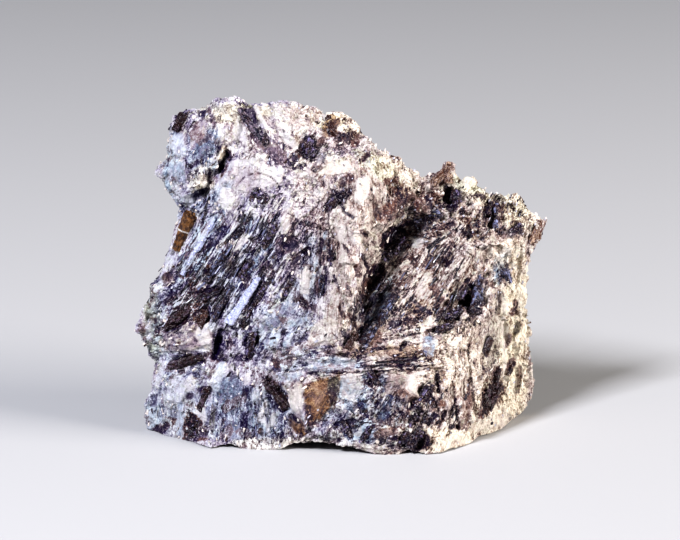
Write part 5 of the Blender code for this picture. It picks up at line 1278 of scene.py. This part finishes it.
def make_crystal(node, surface, sizes, seed):
    """A fine crystal in a CAD crystal's place: grooved along its length and chipped."""
    data = remeshed(settled(node, surface), f"{node}_crystal", sizes.voxel / MM)
    points, normals = mesh_points(data) / MM, mesh_normals(data)
    points = tapered(points, *TAPERS.get(node, (1.0, 1.0)))
    middle, axis = crystal_axis(points)
    along = (points - middle) @ axis
    across = points - middle - along[:, None] * axis
    long = stretched_along(across, axis, along, GROOVE_WIDTH, GROOVE_LENGTH)
    side = 1.0 - np.abs(normals @ axis)
    grooves = (smooth_noise(long, seed) + 0.6 * smooth_noise(long * 2.1, seed + 1)) * side
    rough = grains(points, 0.4, seed + 2)[1]
    chips = np.minimum(fractal(points, 0.9, seed + 3, 2) + 0.45, 0.0)
    blocky = stretched_along(across, axis, along, BLOCK_WIDTH, BLOCK_LENGTH)
    height = (grooves * sizes.groove + rough * sizes.roughness + chips * sizes.chip) / MM
    height += STEP_HEIGHT * crystal_steps(along, points, seed) * side
    height += BLOCK_HEIGHT * grains(blocky, 1.0, seed + 5)[1]
    if not node.startswith(UNWORN):
        height += WEAR * np.minimum(fractal(points, 2.0, seed + 6, 2) + 0.15, 0.0)
    moved = points + normals * height[:, None]
    moved[:, 2] = np.maximum(moved[:, 2], 0.0)
    move_points(data, moved * MM)
    side_axis = np.cross(axis, (0.31, 0.87, 0.38))
    side_axis /= np.linalg.norm(side_axis)
    lie = np.stack((along, across @ side_axis, across @ np.cross(axis, side_axis)), axis=1) + seed
    set_field(data, "lie", lie)
    set_field(data, "length", along / np.abs(along).max())
    set_field(data, "groove", grooves)
    away = np.array([surface.find_nearest(Vector(point))[3] for point in moved * MM]) / MM
    set_field(data, "bedded", 1.0 - ease_step(away, 0.1, 0.6))
    return data


def dravite_material(name, body, sheen, share, cover):
    """Dravite: nearly black and glassy, with long grooves, dull pits and painted highlights in its sheen
    colour.
    """
    material, graph = new_material(name)
    place = graph.place()
    lie = graph.attribute("lie", "Vector")
    facet = graph.separate(graph.cells(graph.scaled(lie, 0.9, 0.32), 1.0))
    patch = graph.separate(graph.cells(place, 0.36))
    hair = graph.noise(graph.scaled(lie, 1.4, 0.13), 1.0)
    dust = graph.noise(place, 0.2, 3.0)
    # Painted highlights: random facets along the grooves, and scattered bright flecks, take the sheen
    # colour in place of light off the crystal's faces.
    painted_lit_facets = facet[0].step(1.0 - share, 1.03 - share) * (0.25 + 0.75 * hair.step(0.4, 0.65))
    painted_sparks = patch[0].step(0.9, 0.93) * 0.8
    colour = graph.blend((painted_lit_facets + painted_sparks * painted_lit_facets).clamped(), opaque(body), opaque(sheen))
    colour = graph.blend(patch[1].step(0.6, 0.7) * 0.5, colour, PIT_COLOUR)
    colour = graph.blend(painted_sparks * 0.6, colour, opaque(sheen))
    dusty = dust + 0.06 * graph.attribute("groove") + 0.12 * graph.attribute("bedded")
    dusty = dusty.step(0.56, 0.68) * cover
    crust = graph.blend(patch[0], *DUST_COLOURS)
    colour = graph.blend(dusty, colour, crust)
    gloss = 0.14 + 0.3 * patch[2] + 0.35 * dusty
    height = dust + 0.6 * hair + 0.4 * patch[1]
    bump = graph.bump(height, 0.5, 0.08, graph.tilted_normal(place, 0.36, 0.7))
    finish_material(graph, {"Base Color": colour, "Roughness": gloss.clamped(), "Normal": bump,
                            "Specular IOR Level": 0.3})
    return material


def golden_material(colours):
    """Weathered golden-brown dravite with a pale vein across its middle."""
    material, graph = new_material("dravite_golden")
    place = graph.place()
    length = graph.attribute("length")
    cloud = graph.noise(place, 0.7, 4.0)
    grain = graph.noise(place, 0.18, 2.0)
    colour = graph.blend(cloud.step(0.4, 0.62), opaque(colours.golden_dark), opaque(colours.golden))
    near = (length + 0.1 * (cloud - 0.5)).step(-0.03, 0.02) * (0.07 - length).step(-0.02, 0.03)
    colour = graph.blend(near, colour, opaque(colours.vein))
    colour = graph.blend(grain.step(0.6, 0.7) * 0.6, colour, GOLDEN_PIT_COLOUR)
    finish_material(graph, {"Base Color": colour, "Roughness": 0.35 + 0.3 * grain,
                            "Normal": graph.bump(grain + cloud, 0.5, 0.1)})
    return material


def mica_material(name, body, shade):
    """Pearly mica: bright cleavage faces, layered along their edges; the bluish white is partly painted
    reflection.
    """
    material, graph = new_material(name)
    place = graph.place()
    patch = graph.separate(graph.cells(place, 0.8))
    dust = graph.noise(place, 0.25, 3.0)
    colour = graph.blend((dust.step(0.45, 0.65) * 0.65 + 0.2 * patch[0]).clamped(), opaque(body),
                         opaque(shade))
    finish_material(graph, {"Base Color": colour, "Roughness": 0.22 + 0.3 * patch[2],
                            "Normal": graph.bump(dust + patch[1], 0.3, 0.06),
                            "Coat Weight": 0.4, "Coat Roughness": 0.15})
    return material


# ---------------------------------------------------------------- scattered grains

SHAPES = {
    "needle": ("GeometryNodeMeshCylinder", {"Vertices": 5, "Radius": 0.5, "Depth": 1.0}),
    "grain": ("GeometryNodeMeshIcoSphere", {"Radius": 0.6, "Subdivisions": 1}),
    "flake": ("GeometryNodeMeshCylinder", {"Vertices": 6, "Radius": 0.5, "Depth": 1.0}),
}
# Each kind of grain: its shape, the field on the stone that says how thickly it lies, its slot, its
# seed, how far it stands out and how rough it is in mm, how closely it follows the schist's grain,
# how far it is turned from it, and the smallest and the largest in mm.
STREWN = {
    "needles": ("needle", "needle_room", "dravite_black", 5, -0.02, 0.12, 1.0, (0.2, 0.07, 0.07),
                (1.4, 0.14, 0.12), (4.2, 0.36, 0.24)),
    "dark_grains": ("grain", "dark_room", "dravite_black", 15, -0.02, 0.5, 0.9, (0.6, 0.4, 0.5),
                    (0.35, 0.14, 0.1), (1.3, 0.42, 0.3)),
    "pale_grains": ("grain", "pale_room", "schist", 25, -0.1, 0.7, 0.9, (0.6, 0.4, 0.5),
                    (0.2, 0.12, 0.08), (1.1, 0.6, 0.35)),
    "mica_flakes": ("flake", "flake_room", "mica", 35, 0.0, 0.15, 1.0, (0.4, 0.2, 0.25),
                    (0.2, 0.12, 0.03), (0.9, 0.4, 0.07)),
}
# Their finishes: the colour, a second colour, the share of them that has it, and how rough they
# are. The pale grains have the schist's own finish.
GRAIN_FINISHES = {
    # The needles' second colour is a painted sheen: bluish highlights on a share of them.
    "needles": ("needle", "needle_painted_sheen", 0.22, 0.18),
    "dark_grains": ("dark", "rusty", 0.3, 0.2),
    "mica_flakes": ("flake", "flake_shade", 0.45, 0.45),
}


def tree_sockets(tree, names):
    """Give a node tree its named inputs, each with its default."""
    tree.interface.new_socket("Geometry", in_out="INPUT", socket_type="NodeSocketGeometry")
    for name, default in names.items():
        kind = {int: "NodeSocketInt", float: "NodeSocketFloat", tuple: "NodeSocketVector"}
        socket = tree.interface.new_socket(name, in_out="INPUT", socket_type=kind[type(default)])
        socket.default_value = default
    tree.interface.new_socket("Geometry", in_out="OUTPUT", socket_type="NodeSocketGeometry")


def scatter_tree(name, shape, room, material, inputs):
    """A node tree that strews one shape over a surface, as thickly as a field there says."""
    tree = bpy.data.node_groups.new(name, "GeometryNodeTree")
    tree_sockets(tree, inputs)
    graph = Graph(tree)
    entry = graph.node("NodeGroupInput", {}, {}).socket.node.outputs
    value = {socket.name: Wire(graph, socket) for socket in entry if socket.name}
    field = graph.node("GeometryNodeInputNamedAttribute", {"data_type": "FLOAT"}, {"Name": room})
    density = field * value["Density"]
    spots = graph.node("GeometryNodeDistributePointsOnFaces", {"distribute_method": "RANDOM"}, {
        "Mesh": value["Geometry"], "Density": density, "Seed": value["Seed"]})
    outputs = spots.socket.node.outputs
    normal, upright = Wire(graph, outputs["Normal"]), Wire(graph, outputs["Rotation"])
    sunk = graph.vector("SCALE", normal, value["Depth"])
    points = graph.node("GeometryNodeSetPosition", {}, {"Geometry": spots, "Offset": sunk})
    flow = graph.node("GeometryNodeInputNamedAttribute", {"data_type": "FLOAT_VECTOR"},
                      {"Name": "along"})
    laid = graph.node("FunctionNodeAlignRotationToVector", {"axis": "X", "pivot_axis": "AUTO"},
                      {"Rotation": upright, "Vector": flow, "Factor": value["Order"]})
    loose = graph.random((-1.0,) * 3, (1.0,) * 3, value["Seed"])
    loose = graph.vector("MULTIPLY", loose, value["Turn"])
    turned = graph.node("FunctionNodeRotateRotation", {"rotation_space": "LOCAL"},
                        {"Rotation": laid, "Rotate By": loose})
    size = graph.random(value["Smallest"], value["Largest"], value["Seed"] + 1)
    kind, settings = SHAPES[shape]
    body = graph.node(kind, {}, settings)
    if shape == "needle":
        body = graph.node("GeometryNodeTransform", {}, {
            "Geometry": body, "Rotation": (0.0, math.pi / 2, 0.0)})
    crowd = graph.node("GeometryNodeInstanceOnPoints", {}, {
        "Points": points, "Instance": body, "Rotation": turned, "Scale": size})
    shade = graph.node("FunctionNodeRandomValue", {"data_type": "FLOAT"}, {
        2: 0.0, 3: 1.0, "Seed": value["Seed"] + 2}, output=1)
    crowd = graph.node("GeometryNodeStoreNamedAttribute",
                       {"data_type": "FLOAT", "domain": "INSTANCE"},
                       {"Geometry": crowd, "Name": "shade", "Value": shade})
    real = graph.node("GeometryNodeRealizeInstances", {}, {"Geometry": crowd})
    here = graph.node("GeometryNodeInputPosition", {}, {})
    rough = graph.node("ShaderNodeTexNoise", {}, {
        "Vector": here, "Scale": GRAIN_RUFFLES / MM, "Detail": 1.0}, output="Color")
    rough = graph.vector("SUBTRACT", rough, (0.5, 0.5, 0.5))
    rough = graph.vector("SCALE", rough, value["Roughness"])
    real = graph.node("GeometryNodeSetPosition", {}, {"Geometry": real, "Offset": rough})
    real = graph.node("GeometryNodeSetMaterial", {}, {"Geometry": real, "Material": material})
    graph.node("NodeGroupOutput", {}, {"Geometry": real})
    return tree


def scattered(name, shape, room, material, inputs, ground):
    """A plain mesh of the shapes that a scatter tree strews over the ground mesh."""
    tree = scatter_tree(name, shape, room, material, inputs)
    thing = new_object(name, ground.copy())
    modifier = thing.modifiers.new("Scatter", "NODES")
    modifier.node_group = tree
    for socket in tree.interface.items_tree:
        if socket.in_out == "INPUT" and socket.name in inputs:
            modifier[socket.identifier] = inputs[socket.name]
    data = applied(thing)
    data.name = name
    return data


def scatter_material(name, body, second, share, gloss):
    """The finish of strewn grains: a share of them has the second colour, and all are dusty."""
    material, graph = new_material(name)
    place = graph.place()
    shade = graph.attribute("shade")
    dust = graph.noise(place, 0.22, 3.0)
    patch = graph.separate(graph.cells(place, 0.3))
    colour = graph.blend(shade.step(1.0 - share, 1.02 - share), opaque(body), opaque(second))
    colour = graph.blend(0.6 * dust.step(0.5, 0.75), colour, GRAIN_DUST_COLOUR)
    bright = 0.65 + 0.6 * patch[0]
    value = graph.node("ShaderNodeCombineXYZ", {}, {0: bright, 1: bright, 2: bright})
    colour = graph.blend(1.0, colour, value, mode="MULTIPLY")
    finish_material(graph, {"Base Color": colour, "Roughness": gloss + 0.25 * patch[2],
                            "Normal": graph.bump(dust + patch[1], 0.4, 0.05)})
    return material


# ---------------------------------------------------------------- stage

def add_light(name, power, place, size, colour):
    """A soft square light that faces the stone."""
    light = bpy.data.lights.new(name, "AREA")
    light.size = size
    light.energy = power
    light.color = colour
    thing = new_object(name, light)
    thing.location = place
    aim = to_world(*LIT_POINT) - Vector(place)
    thing.rotation_euler = aim.to_track_quat("-Z", "Y").to_euler()


def add_camera(settings):
    """A camera that looks straight at the crystal-rich face."""
    data = bpy.data.cameras.new("camera")
    data.lens = settings.lens
    data.clip_start, data.clip_end = CAMERA_SIGHT
    camera = new_object("camera", data)
    camera.location = to_world(0.0, settings.camera_height / MM, -settings.camera_distance / MM)
    camera.rotation_euler = (math.pi / 2 - LEAN, 0.0, 0.0)
    bpy.context.scene.camera = camera


def floor_material(colour):
    """A plain matt surface with the faintest mottle."""
    material, graph = new_material("floor")
    place = graph.place()
    size, share = FLOOR_MOTTLE
    shade = graph.blend(graph.noise(place, size) * share, opaque(colour), (0.5, 0.5, 0.5, 1.0))
    finish_material(graph, {"Base Color": shade, "Roughness": 0.8})
    return material


def add_floor(settings):
    """A plain pale floor under the stone."""
    half = settings.floor_size / 2.0
    corners = ((-half, -half, 0.0), (half, -half, 0.0), (half, half, 0.0), (-half, half, 0.0))
    mesh = bpy.data.meshes.new("floor")
    mesh.from_pydata(corners, [], [(0, 1, 2, 3)])
    mesh.materials.append(floor_material(settings.floor_colour))
    new_object("floor", mesh)


# ---------------------------------------------------------------- settings

def length(name, default, description):
    """A length property in metres."""
    return FloatProperty(name=name, default=default, description=description, min=0.0,
                         unit="LENGTH", precision=6)


def colour(name, default, description):
    """A colour property."""
    return FloatVectorProperty(name=name, default=default, description=description,
                               subtype="COLOR", min=0.0, max=1.0)


class SchistSettings(bpy.types.PropertyGroup):
    """Sizes and colours of the schist."""
    voxel: length("Mesh size", 0.000234, "Edge length of the fine stone's faces")
    triangles: IntProperty(name="Triangles", default=196000, min=1000,
                           description="The most triangles that the fine stone keeps")
    lump_height: length("Lump height", 0.00022, "Height of the broad lumps")
    splinter_height: length("Splinter height", 0.0002, "Height of the flat-topped splinters")
    grain_height: length("Grain height", 0.00013, "Height of the small grains")
    streak_height: length("Streak height", 0.00018, "Height of the ridges along the grain")
    black: colour("Black", (0.013, 0.006, 0.019), "The darkest specks of the right side")
    rose: colour("Rose", (0.28, 0.213, 0.204), "The middle tone of the right side")
    cream: colour("Cream", (0.555, 0.515, 0.488), "The palest grains of the right side")
    night: colour("Night", (0.012, 0.005, 0.042), "The darkest specks of the left side")
    violet: colour("Violet", (0.25, 0.213, 0.3), "The middle tone of the left side")
    lilac: colour("Lilac", (0.545, 0.54, 0.567), "The palest grains of the left side")
    slate: colour("Slate", (0.145, 0.18, 0.245), "The middle tone of bluish mica")
    blue: colour("Blue white", (0.49, 0.555, 0.62), "The palest bluish mica")
    sand: colour("Sand", (0.33, 0.25, 0.165), "The middle tone of stained quartz")
    warm: colour("Warm", (0.73, 0.68, 0.57), "The palest stained quartz")
    rust: colour("Rust", (0.15, 0.07, 0.05), "The middle tone of brown grains")
    moss: colour("Moss", (0.17, 0.17, 0.11), "The middle tone of greenish grains")
    olive: colour("Olive", (0.5, 0.51, 0.42), "The palest greenish grains")
    ochre: colour("Ochre", (0.15, 0.066, 0.016), "The middle tone of ochre faces")
    tan: colour("Tan", (0.33, 0.19, 0.07), "The palest ochre grains")


class CrystalSettings(bpy.types.PropertyGroup):
    """Sizes and colours of the dravite crystals and the mica laths."""
    voxel: length("Mesh size", 0.00011, "Edge length of a crystal's faces")
    groove: length("Groove depth", 0.00004, "Depth of the grooves along a crystal")
    roughness: length("Roughness", 0.00004, "Height of the small steps on a crystal's faces")
    chip: length("Chip depth", 0.0003, "Depth of the chips out of a crystal's edges")
    # The sheen colours here and the crust are painted highlights: they are put on random facets and
    # flecks of the crystals in place of light off their faces.
    black: colour("Black", (0.008, 0.004, 0.014), "Nearly black dravite")
    black_sheen: colour("Black's sheen", (0.19, 0.16, 0.29), "Bright spots of the black crystals")
    blue: colour("Blue", (0.010, 0.008, 0.022), "Dravite with a bluish sheen")
    blue_sheen: colour("Blue's sheen", (0.17, 0.19, 0.31), "Bright spots of the bluish crystals")
    bright_sheen: colour("Bright sheen", (0.28, 0.30, 0.48), "Bright spots of the glossiest ones")
    brown: colour("Brown", (0.028, 0.009, 0.009), "Brown dravite")
    brown_sheen: colour("Brown's sheen", (0.2, 0.11, 0.08), "Bright spots of the brown crystals")
    deep: colour("Deep brown", (0.012, 0.004, 0.008), "The deepest brown dravite")
    deep_sheen: colour("Deep brown's sheen", (0.12, 0.08, 0.11), "Bright spots of the deepest brown")
    paler: colour("Paler brown", (0.08, 0.035, 0.022), "Brown dravite that has weathered paler")
    paler_sheen: colour("Paler brown's sheen", (0.42, 0.31, 0.24), "Bright spots of the paler brown")
    # The crust colour is painted as the highlights of the crusted crystals.
    crust: colour("Crust", (0.24, 0.19, 0.24), "Bright spots of the crusted crystals")
    golden: colour("Golden", (0.17, 0.08, 0.025), "Weathered golden dravite")
    golden_dark: colour("Golden's dark", (0.045, 0.018, 0.01), "Dark patches of the golden one")
    vein: colour("Vein", (0.5, 0.48, 0.46), "The pale vein across the golden crystal")
    # Partly a painted reflection: the laths' bright bluish white stands in part for light off a crystal
    # face.
    mica: colour("Mica", (0.5, 0.53, 0.70), "The bright mica laths")
    mica_shade: colour("Mica's shade", (0.16, 0.16, 0.28), "Dull patches of the mica laths")


def count(name, default, description):
    """How many of something lie on a square millimetre where there is most room."""
    return FloatProperty(name=name, default=default, description=description, min=0.0)


class GrainSettings(bpy.types.PropertyGroup):
    """How thickly the needles, grains and mica flakes lie on the schist."""
    needles: count("Needles per mm2", 0.8, "Fine dark needles along the grain")
    dark_grains: count("Dark grains per mm2", 0.7, "Stubby grains of dravite")
    pale_grains: count("Pale grains per mm2", 0.35, "Grains of quartz and feldspar")
    mica_flakes: count("Flakes per mm2", 0.45, "Flakes of mica")
    needle: colour("Needle", (0.012, 0.010, 0.018), "The needles' colour")
    # A painted sheen: the bluish highlight given to a share of the needles.
    needle_painted_sheen: colour("Needle's sheen", (0.15, 0.16, 0.25), "The few bluish needles")
    dark: colour("Dark grain", (0.012, 0.007, 0.018), "The dark grains' colour")
    rusty: colour("Rusty grain", (0.04, 0.016, 0.012), "The few rusty grains")
    flake: colour("Flake", (0.42, 0.42, 0.5), "The mica flakes' colour")
    flake_shade: colour("Dull flake", (0.2, 0.18, 0.19), "The dull mica flakes")


class StageSettings(bpy.types.PropertyGroup):
    """The floor, the lights and the camera."""
    floor_size: length("Floor", 4.0, "Width of the floor")
    floor_colour: colour("Floor colour", (0.45, 0.45, 0.46), "Colour of the floor")
    key_power: FloatProperty(name="Key", default=13.4, min=0.0, unit="POWER",
                             description="Power of the main light, from the upper left")
    fill_power: FloatProperty(name="Fill", default=8.6, min=0.0, unit="POWER",
                              description="Power of the warm light from the right")
    sky: FloatProperty(name="Surroundings", default=0.1, min=0.0,
                       description="Brightness of the plain surroundings")
    lens: FloatProperty(name="Lens", default=211.76, min=1.0, description="Focal length in mm")
    camera_height: length("Aim height", 0.02775, "Height on the face that the camera looks at")
    camera_distance: length("Camera distance", 0.6, "Distance from the face to the camera")


# ---------------------------------------------------------------- operators

def settings_of(context):
    """The specimen's settings, kept on the scene."""
    return context.scene.dravite_specimen


def finish_piece(name, data, material, nodes=()):
    """Show a mesh as a piece of the object that rides on it and stands for CAD nodes."""
    data.materials.clear()
    data.materials.append(material)
    piece = new_object(name, data)
    if nodes:
        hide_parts(*nodes)
    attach(piece, BODY)
    return piece


class DRAVITE_OT_schist(bpy.types.Operator):
    """Build the fine mica schist in place of the plain stone"""
    bl_idname = "dravite.schist"
    bl_label = "Schist"

    def execute(self, context):
        sizes = settings_of(context).schist
        data = make_stone(sizes)
        finish_piece("schist", data, schist_material(sizes), (STONE,))
        return {"FINISHED"}


class DRAVITE_OT_crystals(bpy.types.Operator):
    """Build each fine crystal in place of its plain one"""
    bl_idname = "dravite.crystals"
    bl_label = "Crystals"

    def execute(self, context):
        sizes = settings_of(context).crystals
        finishes = {name: dravite_material(name, getattr(sizes, body), getattr(sizes, sheen), *shares)
                    for name, (body, sheen, *shares) in FINISHES.items()}
        finishes["dravite_golden"] = golden_material(sizes)
        finishes["mica"] = mica_material("mica", sizes.mica, sizes.mica_shade)
        finish_of = {node: name for name, nodes in WEATHERED_AND_PAINTED_SHINE.items() for node in nodes}
        stone = merged_copy(STONE)
        surface = tree_of(stone)
        stone.free()
        for seed, node in enumerate(crystal_nodes()):
            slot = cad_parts[node].data.materials[0].name
            data = make_crystal(node, surface, sizes, 11 * seed)
            finish = finishes[finish_of.get(node, slot)]
            finish_piece(f"{node}_crystal", data, finish, (node,))
        return {"FINISHED"}


def strew(name, sizes):
    """Strew one kind of grain over the fine stone as one piece."""
    shape, room, slot, seed, depth, roughness, order, turn, smallest, largest = STREWN[name]
    inputs = {"Density": getattr(sizes, name) / MM ** 2, "Seed": seed, "Depth": depth * MM,
              "Order": order, "Turn": turn, "Smallest": tuple(part * MM for part in smallest),
              "Largest": tuple(part * MM for part in largest), "Roughness": roughness * MM}
    if name in GRAIN_FINISHES:
        body, second, share, gloss = GRAIN_FINISHES[name]
        material = scatter_material(name, getattr(sizes, body), getattr(sizes, second), share, gloss)
    else:
        material = bpy.data.materials["schist"]
    data = scattered(name, shape, room, material, inputs, bpy.data.objects["schist"].data)
    if not data.polygons:
        raise RuntimeError(f"no {name} were made")
    points = mesh_points(data)
    points[:, 2] = np.maximum(points[:, 2], 0.0)
    move_points(data, points)
    finish_piece(name, data, material)


class DRAVITE_OT_grains(bpy.types.Operator):
    """Strew the needles, the grains and the mica flakes over the schist"""
    bl_idname = "dravite.grains"
    bl_label = "Grains"

    def execute(self, context):
        for name in STREWN:
            strew(name, settings_of(context).grains)
        return {"FINISHED"}


class DRAVITE_OT_stage(bpy.types.Operator):
    """Set the floor, the lights and the camera"""
    bl_idname = "dravite.stage"
    bl_label = "Stage"

    def execute(self, context):
        settings = settings_of(context).stage
        add_floor(settings)
        add_light("key", settings.key_power, *KEY_LIGHT)
        add_light("fill", settings.fill_power, *FILL_LIGHT)
        add_camera(settings)
        world = bpy.data.worlds.new("surroundings")
        world.use_nodes = True
        background = world.node_tree.nodes["Background"]
        background.inputs["Color"].default_value = SKY_COLOUR
        background.inputs["Strength"].default_value = settings.sky
        context.scene.world = world
        context.scene.view_settings.view_transform = "Standard"
        context.scene.view_settings.look = "High Contrast"
        return {"FINISHED"}


class SpecimenSettings(bpy.types.PropertyGroup):
    """Everything that can be set on the specimen."""
    schist: PointerProperty(type=SchistSettings)
    crystals: PointerProperty(type=CrystalSettings)
    grains: PointerProperty(type=GrainSettings)
    stage: PointerProperty(type=StageSettings)


class DRAVITE_PT_build(bpy.types.Panel):
    """Lists in the sidebar what can be built"""
    bl_idname = "DRAVITE_PT_build"
    bl_label = "Dravite in mica schist"
    bl_space_type = "VIEW_3D"
    bl_region_type = "UI"
    bl_category = "Dravite"

    def draw(self, context):
        for operator in OPERATORS:
            self.layout.operator(operator.bl_idname)


OPERATORS = (DRAVITE_OT_stage, DRAVITE_OT_schist, DRAVITE_OT_crystals, DRAVITE_OT_grains)
CLASSES = (SchistSettings, CrystalSettings, GrainSettings, StageSettings, SpecimenSettings,
           *OPERATORS, DRAVITE_PT_build)


def register():
    """Add the settings, the operators and the panel."""
    for each in CLASSES:
        bpy.utils.register_class(each)
    bpy.types.Scene.dravite_specimen = PointerProperty(type=SpecimenSettings)


def unregister():
    """Take them away again."""
    del bpy.types.Scene.dravite_specimen
    for each in reversed(CLASSES):
        bpy.utils.unregister_class(each)


def main():
    """Build every piece."""
    register()
    bpy.ops.dravite.stage()
    bpy.ops.dravite.schist()
    bpy.ops.dravite.crystals()
    bpy.ops.dravite.grains()


if __name__ == "__main__":
    main()
